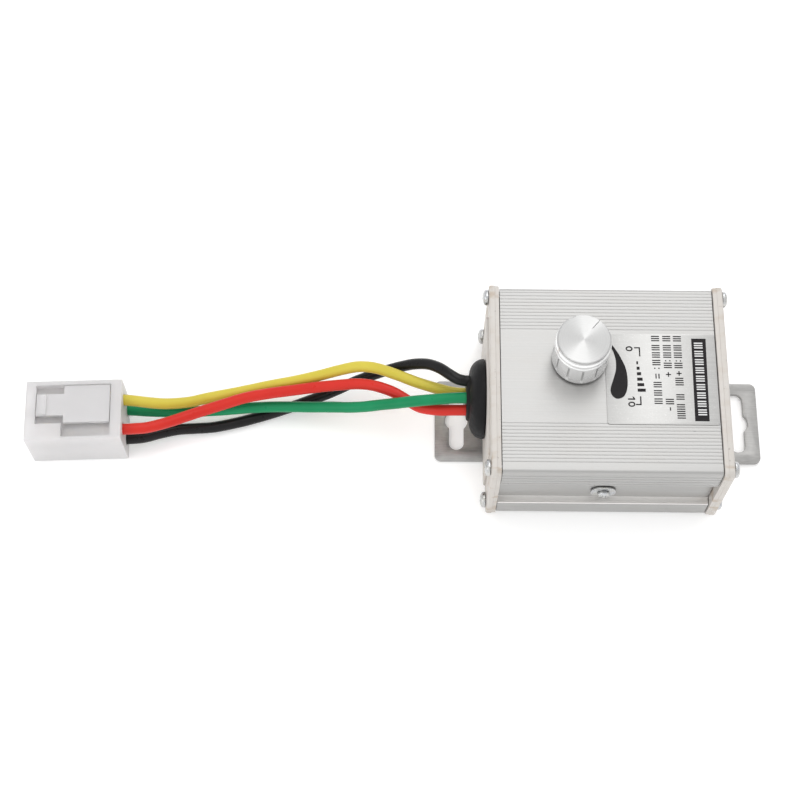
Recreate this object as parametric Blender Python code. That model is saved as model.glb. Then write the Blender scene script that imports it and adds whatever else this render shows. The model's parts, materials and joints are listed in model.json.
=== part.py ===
"""Electronic speed controller for a small brushed motor, as an assembly of separate pieces.

Frame: metres, +Z up. The origin is at the middle of the underside of the mounting plate. +X runs along
the extruded case, towards the blank end plate; the cable leaves at -X. The front of the case, with the
side screw, faces -Y. Lengths below are in millimetres and are turned into metres by MM.
"""

import math

import bmesh
import bpy
from mathutils import Matrix, Vector

MM = 0.001
GAP = 0.3  # between pieces that touch
MERGE = 0.000001

# Case: overall sizes over the end plates, from which the rest follows. The mounting plate lies in a
# shallow recess in its underside.
CASE_LENGTH = 80.0
CASE_WIDTH = 70.0
CASE_TOP = 41.0
CASE_BOTTOM = 0.3
END_THICK = 3.4
END_STEP = 1.1  # the end plates stand this far proud of the top and the sides of the extrusion
END_CORNER = 2.4
END_CHAMFER = 0.7
END_EDGE = 0.3
PAD_PROUD = 0.8
PAD_HALF_WIDTH = 25.5
PAD_BOTTOM = 2.4
PAD_TOP = 35.5
PAD_CORNER = 2.0

# Mounting plate: two ears with keyhole slots on 100 mm centres.
PLATE_LENGTH = 115.4
PLATE_WIDTH = 30.5
PLATE_THICK = 1.5
PLATE_CORNER = 2.0
SLOT_CENTRE = 50.0
SLOT_WIDTH = 5.2
SLOT_LENGTH = 22.3
SLOT_EYE = 8.0
PLATE_SCREW_X = 22.0

# Extrusion.
SKIN_WIDTH = CASE_WIDTH - 2 * END_STEP
SKIN_TOP = CASE_TOP - END_STEP
SKIN_LENGTH = CASE_LENGTH - 2 * END_THICK - 2 * GAP
SKIN_BOTTOM = 0.8
RECESS_TOP = PLATE_THICK + GAP
RECESS_HALF = PLATE_WIDTH / 2 + GAP
SKIN_CORNER = 1.5
SKIN_FOOT = 1.0
WALL = 2.0
ROOF = 2.2
FLOOR = 2.5  # above the recess for the mounting plate
FLAT_BAND = 17.2  # half width of the plain band along the top
RIB_PITCH = 1.25
RIB_COUNT = 12
RIB_DEPTH = 0.35
SIDE_RIB_PITCH = 2.3
SIDE_RIBS = 4
SIDE_RIBS_FROM = 28.8
SIDE_RIBS_TO = 38.2
CHANNEL_LOW = 10.1
CHANNEL_HIGH = 28.4
CHANNEL_DEPTH = 2.8
BOARD_SLOT_LOW = 10.0
BOARD_SLOT_HIGH = 12.2
BOARD_SLOT_DEPTH = 1.0
BOSS_SIDE = 28.6
BOSS_LOW = 8.1
BOSS_HIGH = 34.7

# Screws.
END_SCREW_Y = 31.2
END_SCREW_LOW = 5.5
END_SCREW_HIGH = 37.4
SHANK = 1.3
SHANK_HOLE = 1.6
HEAD = 2.75
HEAD_HIGH = 1.95
END_SCREW_LONG = 11.0
SIDE_SCREW_LONG = 8.0
SIDE_HEAD = 2.1
SIDE_HEAD_HIGH = 1.5
CLAMP_SCREW_LONG = 5.0
SUNK_SCREW_LONG = 6.5
CROSS_REACH = 1.5
CROSS_HALF_WIDTH = 0.35
CROSS_DEPTH = 1.1
SIDE_WASHER_R = 4.4
SIDE_WASHER_THICK = 0.7
SIDE_SCREW_X = -0.5
SIDE_SCREW_Z = 16.3

# Knob and potentiometer.
KNOB_X = -9.9
KNOB_Y = 7.0
KNOB_BASE = SKIN_TOP + 1.1
KNOB_HIGH = 15.5
KNOB_R = 9.35
KNOB_FACE_R = 8.7
KNOB_GROOVES = 12
KNOB_REST_TURN = math.radians(49)  # the pointer's angle from +X at the OFF stop
KNOB_BORE_R = 7.8
KNOB_BORE_TOP = 45.4
INSERT_R = 5.0
INSERT_TOP = 53.4
POINTER_FROM = 4.8
POINTER_WIDTH = 1.0
SHAFT_R = 3.0
SHAFT_LOW = 31.3
SHAFT_TOP = 53.2
SHAFT_FLAT = 2.1  # from the axis to the flat that keys the knob
BUSH_R = 3.5
BUSH_TOP = 43.6
POT_R = 8.2
POT_LOW = 28.9
POT_TAG_PITCH = 5.0
POT_TAG_REACH = 3.0
POT_TAG_Z = 32.0
WASHER_THICK = 0.6
NUT_R = 5.6
NUT_HIGH = 1.9

# Grommet.
GROMMET_Y = 0.5
GROMMET_Z = 20.3
GROMMET_R = 13.9
GROMMET_HOLE = 8.0
DOME_HIGH = 4.3
NOZZLE_R = 9.0
NOZZLE_FACE = -47.3
GROMMET_LIP_R = 10.5
GROMMET_LIP = 1.6

# Label.
LABEL_X = (-1.2, 36.2)
LABEL_Y = (-16.4, 16.8)
LABEL_CORNER = 0.8
LABEL_THICK = 0.2

# Cable: four free wires between the grommet and the connector.
WIRE_R = 1.95
WIRE_SAMPLES = 20
POT_WIRE_R = 0.6
LEAD_SAMPLES = 10

# Connector.
PLUG_X = -182.9
PLUG_Y = -5.0
PLUG_TURN = math.radians(2.3)
PLUG_LENGTH = 33.0
PLUG_WIDTH = 22.0
PLUG_HIGH = 21.0
CAVITY_Y = 5.5
CAVITY_ROWS = (5.4, 14.6)
CAVITY_WIDTH = 8.0
CAVITY_HIGH = 4.6
CAVITY_END = 8.0
TUNNEL_R = 2.45
TERMINAL_FRONT = -10.2
TERMINAL_BACK = 16.2
CRIMP_R = 2.15
LATCH_Y = 1.9
LATCH_FLOOR = 18.0
LATCH_UNDER = 19.3
LATCH_TOP = 21.0
LATCH_PIVOT_X = -3.6
LATCH_RAMP = 0.7
POCKET_X = (-13.0, -4.0, 12.8)  # the ends of its narrow part, beside the tongue, and of its wide part
POCKET_Y = (-10.0, -5.1, 9.2)  # the front of its wide part, the front of its narrow part, and its back
LATCH_PAD_X = (-3.4, 12.3)
LATCH_PAD_HALF = 6.75
LATCH_TONGUE_X = -12.5
LATCH_TONGUE_HALF = 4.0

# Inside: the board, its parts and the heat bar.
BOARD_Z = 10.3
BOARD_THICK = 1.6
BOARD_TOP = BOARD_Z + BOARD_THICK
BOARD_HALF = (34.5, 29.8)
CHIP_LOW = (-9.8, -12.2)
CHIP_HIGH = (-0.2, -5.8)
CHIP_LIFT = 0.8
CHIP_THICK = 3.4
PIN_PITCH = 2.54
CAPACITOR_R = 6.25
CAPACITOR_HIGH = 20.6
CAPACITOR_X = (11.5, 26.0)
CAPACITOR_Y = 14.5
BAR_HALF = 29.0
BAR_THICK = 6.0
BAR_Z = (13.0, 28.4)
DEVICES = (("mosfet_1", -21.0), ("mosfet_2", 9.0), ("flyback_diode", 21.5))
DEVICE_HALF = 5.0
DEVICE_Z = (13.4, 22.4)
DEVICE_THICK = 4.4
TAB_THICK = 1.3
TAB_HOLE_Z = 25.4

ROUTES = {
    "black": [
        (-47.8, 5.2, 25.2), (-50.4, 5.7, 25.6), (-53.4, 7.7, 25.4), (-56.6, 10.4, 24.2),
        (-60.5, 12.8, 21.9), (-65.0, 14.1, 19.0), (-69.0, 14.5, 16.3), (-73.5, 14.4, 13.6),
        (-77.5, 14.0, 11.4), (-82.0, 13.2, 9.2), (-86.5, 12.0, 7.5), (-91.0, 10.3, 6.1),
        (-96.0, 8.4, 4.9), (-101.5, 6.6, 3.8), (-109.0, 4.0, 2.8), (-116.5, 1.5, 2.3),
        (-126.0, -1.4, 2.2), (-135.5, -3.7, 2.3), (-142.0, -4.4, 2.5), (-148.5, -5.2, 3.2),
        (-154.5, -7.0, 4.2), (-160.5, -9.1, 5.1), (-166.1, -9.8, 5.4),
    ],
    "green": [
        (-47.8, -0.4, 23.4), (-52.5, -0.4, 22.9), (-58.5, -0.7, 22.3), (-65.0, -1.0, 21.4),
        (-71.0, -0.9, 19.2), (-77.3, -0.5, 16.4), (-83.0, -0.2, 13.9), (-88.5, 0.4, 11.8),
        (-94.5, 1.2, 10.0), (-101.0, 1.6, 8.8), (-108.5, 2.0, 7.9), (-116.0, 2.2, 7.2),
        (-124.5, 1.8, 6.8), (-133.3, 1.1, 6.4), (-142.0, 0.7, 6.0), (-150.5, 0.6, 5.6),
        (-158.5, 0.8, 5.4), (-166.1, 1.2, 5.4),
    ],
    "red": [
        (-47.8, -3.2, 19.0), (-52.0, -3.0, 18.4), (-57.0, -2.7, 17.6), (-62.5, -1.6, 16.8),
        (-66.0, 0.3, 16.4), (-69.3, 2.6, 16.3), (-73.0, 4.7, 16.3), (-77.5, 6.4, 16.2),
        (-81.5, 7.4, 15.9), (-86.0, 7.8, 15.5), (-92.0, 7.5, 14.9), (-99.0, 7.0, 14.2),
        (-108.0, 6.0, 13.4), (-116.5, 4.9, 12.9), (-124.8, 3.3, 12.5), (-133.0, 0.6, 12.2),
        (-141.4, -2.4, 12.2), (-150.0, -6.0, 13.0), (-157.5, -8.7, 14.0), (-162.5, -9.5, 14.5),
        (-166.1, -9.8, 14.6),
    ],
    "yellow": [
        (-47.8, 4.0, 17.0), (-51.0, 4.2, 17.0), (-55.0, 5.0, 17.2), (-60.0, 6.3, 17.6),
        (-65.0, 7.8, 18.0), (-71.0, 10.2, 18.0), (-77.5, 12.6, 17.8), (-82.0, 13.6, 17.3),
        (-86.0, 13.8, 16.6), (-92.0, 13.0, 15.2), (-99.0, 11.6, 13.6), (-108.0, 10.2, 11.6),
        (-116.5, 9.0, 10.2), (-127.0, 6.8, 9.5), (-138.0, 4.4, 9.5), (-145.0, 2.4, 10.2),
        (-152.5, 1.2, 11.6), (-158.0, 0.9, 13.2), (-162.5, 1.0, 14.3), (-166.1, 1.2, 14.6),
    ],
}

# Where each wire's inner end comes down on the board, inboard of the grommet.
INNER_LEADS = {
    "black": [
        (-34.2, 5.2, 25.2), (-31.0, 5.3, 25.2), (-25.5, 6.4, 23.4), (-22.2, 8.0, 18.4),
        (-22.0, 8.2, 12.2),
    ],
    "green": [
        (-34.2, -0.4, 23.4), (-31.0, -0.4, 23.4), (-26.0, -0.9, 21.4), (-22.9, -1.2, 17.0),
        (-22.6, -1.2, 12.2),
    ],
    "red": [
        (-34.2, -3.2, 19.0), (-32.2, -3.3, 19.0), (-29.4, -4.6, 17.6), (-28.2, -5.8, 15.2),
        (-28.2, -6.4, 12.2),
    ],
    "yellow": [
        (-34.2, 4.0, 17.0), (-32.4, 4.0, 17.0), (-30.0, 4.3, 15.9), (-28.9, 4.4, 14.2),
        (-28.9, 4.4, 12.2),
    ],
}

PALETTE = {
    "extruded_aluminium": ((0.74, 0.74, 0.74), 0.42, 1.0),
    "cast_aluminium": ((0.78, 0.76, 0.74), 0.5, 1.0),
    "sheet_steel": ((0.55, 0.55, 0.55), 0.38, 1.0),
    "zinc_plate": ((0.72, 0.71, 0.69), 0.25, 1.0),
    "knob_aluminium": ((0.86, 0.86, 0.87), 0.22, 1.0),
    "black_rubber": ((0.025, 0.025, 0.027), 0.6, 0.0),
    "label_film": ((0.80, 0.80, 0.80), 0.35, 0.0),
    "board_green": ((0.03, 0.18, 0.08), 0.4, 0.0),
    "heat_bar_aluminium": ((0.70, 0.70, 0.71), 0.45, 1.0),
    "moulded_black": ((0.03, 0.03, 0.03), 0.45, 0.0),
    "capacitor_sleeve": ((0.05, 0.06, 0.12), 0.3, 0.0),
    "pot_steel": ((0.60, 0.60, 0.58), 0.35, 1.0),
    "insert_plastic": ((0.05, 0.05, 0.05), 0.5, 0.0),
    "nylon": ((0.86, 0.85, 0.84), 0.35, 0.0),
    "terminal_brass": ((0.80, 0.64, 0.30), 0.3, 1.0),
    "wire_black": ((0.02, 0.02, 0.02), 0.4, 0.0),
    "wire_green": ((0.02, 0.26, 0.10), 0.4, 0.0),
    "wire_red": ((0.72, 0.05, 0.04), 0.4, 0.0),
    "wire_yellow": ((0.78, 0.68, 0.08), 0.4, 0.0),
}

AXES = {
    "X": lambda a, b, along: (along, a, b),
    "Y": lambda a, b, along: (a, along, b),
    "Z": lambda a, b, along: (a, b, along),
}


def clear_scene():
    for obj in list(bpy.data.objects):
        bpy.data.objects.remove(obj)


def make_materials():
    made = {}
    for name, (colour, roughness, metallic) in PALETTE.items():
        material = bpy.data.materials.new(name)
        material.use_nodes = True
        shader = material.node_tree.nodes["Principled BSDF"]
        shader.inputs["Base Color"].default_value = (*colour, 1.0)
        shader.inputs["Roughness"].default_value = roughness
        shader.inputs["Metallic"].default_value = metallic
        made[name] = material
    return made


def add_object(name, bm, material, smooth=False):
    """Closes a bmesh given in millimetres into a mesh object in metres."""
    bmesh.ops.scale(bm, vec=(MM, MM, MM), verts=bm.verts)
    bmesh.ops.remove_doubles(bm, verts=bm.verts, dist=MERGE)
    bmesh.ops.recalc_face_normals(bm, faces=bm.faces)
    mesh = bpy.data.meshes.new(name)
    bm.to_mesh(mesh)
    bm.free()
    if material is not None:
        mesh.materials.append(material)
    if smooth:
        mesh.shade_smooth()
        mesh.set_sharp_from_angle(angle=math.radians(35))
    obj = bpy.data.objects.new(name, mesh)
    bpy.context.scene.collection.objects.link(obj)
    return obj


def share(name, source):
    """A second object that shares the mesh of a repeated piece."""
    obj = bpy.data.objects.new(name, source.data)
    bpy.context.scene.collection.objects.link(obj)
    return obj


def place(obj, position, towards=(0, 0, 1), turn=0.0):
    """Puts an object's origin at position, with its own +Z turned towards a direction."""
    swing = Vector((0, 0, 1)).rotation_difference(Vector(towards)).to_matrix().to_4x4()
    obj.matrix_world = Matrix.Translation(Vector(position) * MM) @ swing @ Matrix.Rotation(turn, 4, "Z")
    return obj


def prism(outline, axis, low, high):
    """An outline in the plane across an axis, extruded along it."""
    bm = bmesh.new()
    verts = [bm.verts.new(AXES[axis](a, b, low)) for a, b in outline]
    face = bm.faces.new(verts)
    grown = bmesh.ops.extrude_face_region(bm, geom=[face])["geom"]
    moved = [item for item in grown if isinstance(item, bmesh.types.BMVert)]
    bmesh.ops.translate(bm, verts=moved, vec=AXES[axis](0, 0, high - low))
    return bm


def box(low, high):
    return prism(rectangle(low[0], low[1], high[0], high[1]), "Z", low[2], high[2])


def lathe(profile, steps, ring=False):
    """A profile of (radius, height) points turned about +Z."""
    bm = bmesh.new()
    verts = [bm.verts.new((radius, 0, height)) for radius, height in profile]
    edges = [bm.edges.new(pair) for pair in zip(verts, verts[1:])]
    if ring:
        edges.append(bm.edges.new((verts[-1], verts[0])))
    bmesh.ops.spin(
        bm, geom=verts + edges, cent=(0, 0, 0), axis=(0, 0, 1), angle=math.tau, steps=steps, use_merge=True
    )
    bmesh.ops.remove_doubles(bm, verts=bm.verts, dist=0.001)
    return bm


def loft(rings):
    """A solid through rings of the same number of points, capped at both ends."""
    bm = bmesh.new()
    loops = [[bm.verts.new(point) for point in ring] for ring in rings]
    for first, second in zip(loops, loops[1:]):
        for i, vert in enumerate(first):
            after = (i + 1) % len(first)
            bm.faces.new((vert, first[after], second[after], second[i]))
    bm.faces.new(loops[0])
    bm.faces.new(loops[-1])
    return bm


def rectangle(x0, y0, x1, y1):
    return [(x0, y0), (x1, y0), (x1, y1), (x0, y1)]


def arc(cx, cy, radius, start, end, steps):
    """Points on a circle, angles in degrees."""
    angles = [math.radians(start + (end - start) * i / steps) for i in range(steps + 1)]
    return [(cx + radius * math.cos(a), cy + radius * math.sin(a)) for a in angles]


def rounded_rectangle(x0, y0, x1, y1, radius, steps=4):
    return (
        arc(x1 - radius, y0 + radius, radius, -90, 0, steps)
        + arc(x1 - radius, y1 - radius, radius, 0, 90, steps)
        + arc(x0 + radius, y1 - radius, radius, 90, 180, steps)
        + arc(x0 + radius, y0 + radius, radius, 180, 270, steps)
    )


def cylinder(radius, low, high, steps=24):
    return lathe([(0, low), (radius, low), (radius, high), (0, high)], steps)


def join(target, tool, operation):
    """Applies a Boolean of one object with another and removes the other."""
    modifier = target.modifiers.new(operation.lower(), "BOOLEAN")
    modifier.operation = operation
    modifier.solver = "EXACT"
    modifier.object = tool
    graph = bpy.context.evaluated_depsgraph_get()
    mesh = bpy.data.meshes.new_from_object(target.evaluated_get(graph))
    target.modifiers.clear()
    target.data = mesh
    bpy.data.objects.remove(tool)
    return target


def cut(target, bm, position=(0, 0, 0), towards=(0, 0, 1), turn=0.0):
    tool = place(add_object("cutter", bm, None), position, towards, turn)
    return join(target, tool, "DIFFERENCE")


def fuse(target, bm, position=(0, 0, 0), towards=(0, 0, 1), turn=0.0):
    tool = place(add_object("lump", bm, target.data.materials[0]), position, towards, turn)
    return join(target, tool, "UNION")


def smoothed(points, samples):
    """Points on a Catmull-Rom curve through a route: its two ends, and the rest evenly numbered."""
    route = [Vector(point) for point in points]
    padded = [2 * route[0] - route[1], *route, 2 * route[-1] - route[-2]]
    legs = len(route) - 1

    def at(t):
        leg = min(int(t), legs - 1)
        u = t - leg
        a, b, c, d = padded[leg:leg + 4]
        return 0.5 * (
            2 * b + (c - a) * u + (2 * a - 5 * b + 4 * c - d) * u ** 2 + (3 * b - a - 3 * c + d) * u ** 3
        )

    first, last = min(1.0, legs / samples), max(legs - 1.0, legs - legs / samples)
    inner = [at(first + (last - first) * i / (samples - 3)) for i in range(samples - 2)]
    return [route[0], *inner, route[-1]]


def wire(name, points, radius, material, samples):
    curve = bpy.data.curves.new(name, "CURVE")
    curve.dimensions = "3D"
    curve.bevel_depth = radius * MM
    curve.bevel_resolution = 2
    curve.use_fill_caps = True
    line = smoothed(points, samples)
    spline = curve.splines.new("POLY")
    spline.points.add(len(line) - 1)
    for point, where in zip(spline.points, line):
        point.co = (*(where * MM), 1.0)
    curve.materials.append(material)
    obj = bpy.data.objects.new(name, curve)
    bpy.context.scene.collection.objects.link(obj)
    return obj


def grooves(start, end, count, pitch, depth, inward):
    """Points from start towards end along a straight face, with V grooves centred on the run."""
    start, end, inward = Vector(start), Vector(end), Vector(inward)
    along = (end - start).normalized()
    lead = ((end - start).length - (count - 1) * pitch) / 2
    points = []
    for i in range(count):
        middle = start + along * (lead + i * pitch)
        points.append(middle - along * depth)
        points.append(middle + inward * depth)
        points.append(middle + along * depth)
    return [tuple(point) for point in points]


def skin_half():
    """The outside of the extrusion at +Y, seen along its length, from its base up to its top."""
    side = SKIN_WIDTH / 2
    rib_end = side - SKIN_CORNER - 0.3
    ribs_low, ribs_high = (side, SIDE_RIBS_FROM), (side, SIDE_RIBS_TO)
    points = [(RECESS_HALF, RECESS_TOP), (RECESS_HALF, SKIN_BOTTOM)]
    points += [(side - SKIN_FOOT, SKIN_BOTTOM), (side, SKIN_BOTTOM + SKIN_FOOT)]
    points += [(side, CHANNEL_LOW), (side - CHANNEL_DEPTH, CHANNEL_LOW)]
    points += [(side - CHANNEL_DEPTH, CHANNEL_HIGH), (side, CHANNEL_HIGH)]
    points += grooves(ribs_low, ribs_high, SIDE_RIBS, SIDE_RIB_PITCH, RIB_DEPTH, (-1, 0))
    points += arc(side - SKIN_CORNER, SKIN_TOP - SKIN_CORNER, SKIN_CORNER, 0, 90, 5)
    points += grooves((rib_end, SKIN_TOP), (FLAT_BAND, SKIN_TOP), RIB_COUNT, RIB_PITCH, RIB_DEPTH, (0, -1))
    return points


def cavity_half():
    """The inside of the extrusion, with its screw bosses, board slots and the backs of the channels."""
    wall = SKIN_WIDTH / 2 - WALL
    neck = wall - CHANNEL_DEPTH
    notch = neck + BOARD_SLOT_DEPTH
    floor, roof = RECESS_TOP + FLOOR, SKIN_TOP - ROOF
    shelf = CHANNEL_HIGH + WALL
    return [
        (BOSS_SIDE, floor), (BOSS_SIDE, BOSS_LOW), (neck, BOSS_LOW), (neck, BOARD_SLOT_LOW),
        (notch, BOARD_SLOT_LOW), (notch, BOARD_SLOT_HIGH), (neck, BOARD_SLOT_HIGH), (neck, shelf),
        (wall, shelf), (wall, BOSS_HIGH), (BOSS_SIDE, BOSS_HIGH), (BOSS_SIDE, roof),
    ]


def mirrored(half):
    return half + [(-a, b) for a, b in reversed(half)]


def end_screw_places():
    return [(y, z) for z in (END_SCREW_HIGH, END_SCREW_LOW) for y in (END_SCREW_Y, -END_SCREW_Y)]


def make_housing(materials):
    reach = SKIN_LENGTH / 2
    skin = prism(mirrored(skin_half()), "X", -reach, reach)
    housing = add_object("housing", skin, materials["extruded_aluminium"])
    cut(housing, prism(mirrored(cavity_half()), "X", -reach - 2, reach + 2))
    for y, z in end_screw_places():
        cut(housing, cylinder(SHANK_HOLE, -reach - 2, reach + 2, 16), (0, y, z), (1, 0, 0))
    cut(housing, cylinder(BUSH_R + GAP, SKIN_TOP - 5, SKIN_TOP + 3), (KNOB_X, KNOB_Y, 0))
    front = -SKIN_WIDTH / 2
    cut(housing, cylinder(SHANK_HOLE, -2, 10, 16), (SIDE_SCREW_X, front, SIDE_SCREW_Z), (0, 1, 0))
    for side in (-1, 1):
        cut(housing, cylinder(SHANK_HOLE, 0, 8, 16), (side * PLATE_SCREW_X, 0, 0))


def end_plate(name, side, material):
    """A cast end plate with a chamfered inner edge and a raised pad on its outer face."""
    face, inner = side * CASE_LENGTH / 2, side * (CASE_LENGTH / 2 - END_THICK)
    chamfer = side * END_CHAMFER
    bevel = side * END_EDGE

    def ring(x, inset):
        half = CASE_WIDTH / 2 - inset
        outline = rounded_rectangle(-half, CASE_BOTTOM + inset, half, CASE_TOP - inset, END_CORNER - inset)
        return [(x, y, z) for y, z in outline]

    rings = [
        ring(face, END_EDGE), ring(face - bevel, 0),
        ring(inner + chamfer, 0), ring(inner, END_CHAMFER),
    ]
    plate = add_object(name, loft(rings), material)
    pad = rounded_rectangle(-PAD_HALF_WIDTH, PAD_BOTTOM, PAD_HALF_WIDTH, PAD_TOP, PAD_CORNER)
    low, high = sorted((face - side, face + side * PAD_PROUD))
    fuse(plate, prism(pad, "X", low, high))
    cut(plate, box((-CASE_LENGTH, -RECESS_HALF, -2), (CASE_LENGTH, RECESS_HALF, RECESS_TOP)))
    for y, z in end_screw_places():
        cut(plate, cylinder(SHANK_HOLE, -6, 6, 16), (face, y, z), (1, 0, 0))
    return plate


def make_end_plates(materials):
    cable_end = end_plate("cable_end_plate", -1, materials["cast_aluminium"])
    cut(cable_end, cylinder(GROMMET_HOLE, -8, 8, 32), (-CASE_LENGTH / 2, GROMMET_Y, GROMMET_Z), (1, 0, 0))
    end_plate("blank_end_plate", 1, materials["cast_aluminium"])


def slot_outline(cx):
    """A long slot along Y with a round eye at its middle, as one outline."""
    half, end, eye = SLOT_WIDTH / 2, SLOT_LENGTH / 2 - SLOT_WIDTH / 2, SLOT_EYE / 2
    lean = math.degrees(math.acos(half / eye))
    return (
        arc(cx, 0, eye, -lean, lean, 6)
        + arc(cx, end, half, 0, 180, 8)
        + arc(cx, 0, eye, 180 - lean, 180 + lean, 6)
        + arc(cx, -end, half, 180, 360, 8)
    )


def make_mounting_plate(materials):
    outline = rounded_rectangle(
        -PLATE_LENGTH / 2, -PLATE_WIDTH / 2, PLATE_LENGTH / 2, PLATE_WIDTH / 2, PLATE_CORNER
    )
    plate = add_object("mounting_plate", prism(outline, "Z", 0, PLATE_THICK), materials["sheet_steel"])
    wide, narrow = HEAD + 0.35, SHANK_HOLE + 0.1
    sink = [(0, -1), (wide, -1), (wide, 0.35), (narrow, 1.7), (narrow, 4), (0, 4)]
    for side in (-1, 1):
        cut(plate, prism(slot_outline(side * SLOT_CENTRE), "Z", -2, 4))
        cut(plate, lathe(sink, 24), (side * PLATE_SCREW_X, 0, 0))


def cross_recess(screw, low, high, reach=CROSS_REACH):
    for turn in (0, math.pi / 2):
        cut(screw, box((-reach, -CROSS_HALF_WIDTH, low), (reach, CROSS_HALF_WIDTH, high)), turn=turn)


def make_pan_screw(name, long, material, head=HEAD, high=HEAD_HIGH):
    """A pan head screw on +Z, with its head's underside at zero."""
    profile = [
        (0, -long), (SHANK, -long), (SHANK, 0), (head, 0), (head, 0.36 * high),
        (head - 0.6, 0.82 * high), (0, high),
    ]
    screw = add_object(name, lathe(profile, 12), material, smooth=True)
    cross_recess(screw, high - min(CROSS_DEPTH, 0.6 * high), high + 1, min(CROSS_REACH, head - 0.9))
    return screw


def make_end_screws(materials):
    first = None
    for label, side in (("cable_end", -1), ("blank_end", 1)):
        for number, (y, z) in enumerate(end_screw_places(), start=1):
            name = f"{label}_screw_{number}"
            if first is None:
                first = make_pan_screw(name, END_SCREW_LONG, materials["zinc_plate"])
                screw = first
            else:
                screw = share(name, first)
            turn = math.radians(20 + 31 * number)
            place(screw, (side * (CASE_LENGTH / 2 + GAP), y, z), (side, 0, 0), turn)


def make_side_screw(materials):
    back = -SKIN_WIDTH / 2 + CHANNEL_DEPTH
    bore, rim, thick = SHANK_HOLE + 0.2, SIDE_WASHER_R, SIDE_WASHER_THICK
    washer = [(bore, 0), (rim, 0), (rim, thick - 0.15), (rim - 0.15, thick), (bore, thick)]
    place(
        add_object("side_washer", lathe(washer, 24, ring=True), materials["zinc_plate"], smooth=True),
        (SIDE_SCREW_X, back - GAP, SIDE_SCREW_Z), (0, -1, 0),
    )
    zinc = materials["zinc_plate"]
    screw = make_pan_screw("side_screw", SIDE_SCREW_LONG, zinc, SIDE_HEAD, SIDE_HEAD_HIGH)
    place(screw, (SIDE_SCREW_X, back - thick - 1.5 * GAP, SIDE_SCREW_Z), (0, -1, 0), math.radians(12))


def make_plate_screws(materials):
    """Countersunk screws from under the mounting plate into the floor of the extrusion."""
    face, end = 0.1, 0.1 + SUNK_SCREW_LONG
    profile = [(0, face), (HEAD, face), (HEAD, face + 0.2), (SHANK, face + 1.5), (SHANK, end), (0, end)]
    first = add_object("plate_screw_1", lathe(profile, 12), materials["zinc_plate"], smooth=True)
    cross_recess(first, face - 1, face + CROSS_DEPTH)
    place(first, (-PLATE_SCREW_X, 0, 0), turn=math.radians(25))
    place(share("plate_screw_2", first), (PLATE_SCREW_X, 0, 0), turn=math.radians(70))


def make_grommet(materials):
    """A push-in rubber grommet turned about the case's length, with a domed face and a short nozzle."""
    outer = CASE_LENGTH / 2 + PAD_PROUD + GAP
    inner = CASE_LENGTH / 2 - END_THICK - GAP
    tip = -NOZZLE_FACE
    rim = GROMMET_R - NOZZLE_R
    dome = [
        (NOZZLE_R + rim * math.cos(a), outer + 0.4 + (DOME_HIGH - 0.4) * math.sin(a))
        for a in [math.radians(angle) for angle in (0, 22, 44, 66, 88)]
    ]
    profile = [
        (0, inner - GROMMET_LIP), (GROMMET_LIP_R - 0.3, inner - GROMMET_LIP),
        (GROMMET_LIP_R, inner - GROMMET_LIP + 0.3), (GROMMET_LIP_R, inner),
        (GROMMET_HOLE - GAP, inner), (GROMMET_HOLE - GAP, outer), (GROMMET_R, outer), *dome,
        (NOZZLE_R - 0.4, tip - 0.9), (NOZZLE_R - 0.8, tip), (0, tip),
    ]
    grommet = add_object("grommet", lathe(profile, 32), materials["black_rubber"], smooth=True)
    place(grommet, (0, GROMMET_Y, GROMMET_Z), (-1, 0, 0))


def make_label(materials):
    outline = rounded_rectangle(LABEL_X[0], LABEL_Y[0], LABEL_X[1], LABEL_Y[1], LABEL_CORNER, 3)
    low = SKIN_TOP + 0.1
    add_object("label", prism(outline, "Z", low, low + LABEL_THICK), materials["label_film"])


def make_board(materials):
    long, wide = BOARD_HALF
    board = box((-long, -wide, BOARD_Z), (long, wide, BOARD_TOP))
    add_object("circuit_board", board, materials["board_green"])
    under = BOARD_TOP + CHIP_LIFT
    body = box((*CHIP_LOW, under), (*CHIP_HIGH, under + CHIP_THICK))
    chip = add_object("control_ic", body, materials["moulded_black"])
    for i in range(4):
        x = CHIP_LOW[0] + 1.0 + PIN_PITCH * i
        for y in (CHIP_LOW[1] - 0.4, CHIP_HIGH[1] - 0.4):
            fuse(chip, box((x - 0.3, y, BOARD_TOP + GAP), (x + 0.3, y + 0.8, BOARD_TOP + 2.2)))


def make_capacitors(materials):
    """Two electrolytic cans, with the crimp above the base."""
    radius, top = CAPACITOR_R, CAPACITOR_HIGH
    profile = [
        (0, 0), (radius - 0.35, 0), (radius - 0.05, 0.5), (radius - 0.55, 1.6), (radius, 2.6),
        (radius, top - 0.4), (radius - 0.35, top), (0, top),
    ]
    first = add_object("capacitor_1", lathe(profile, 20), materials["capacitor_sleeve"], smooth=True)
    for can, x in zip((first, share("capacitor_2", first)), CAPACITOR_X):
        place(can, (x, CAPACITOR_Y, BOARD_TOP + GAP))


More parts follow.
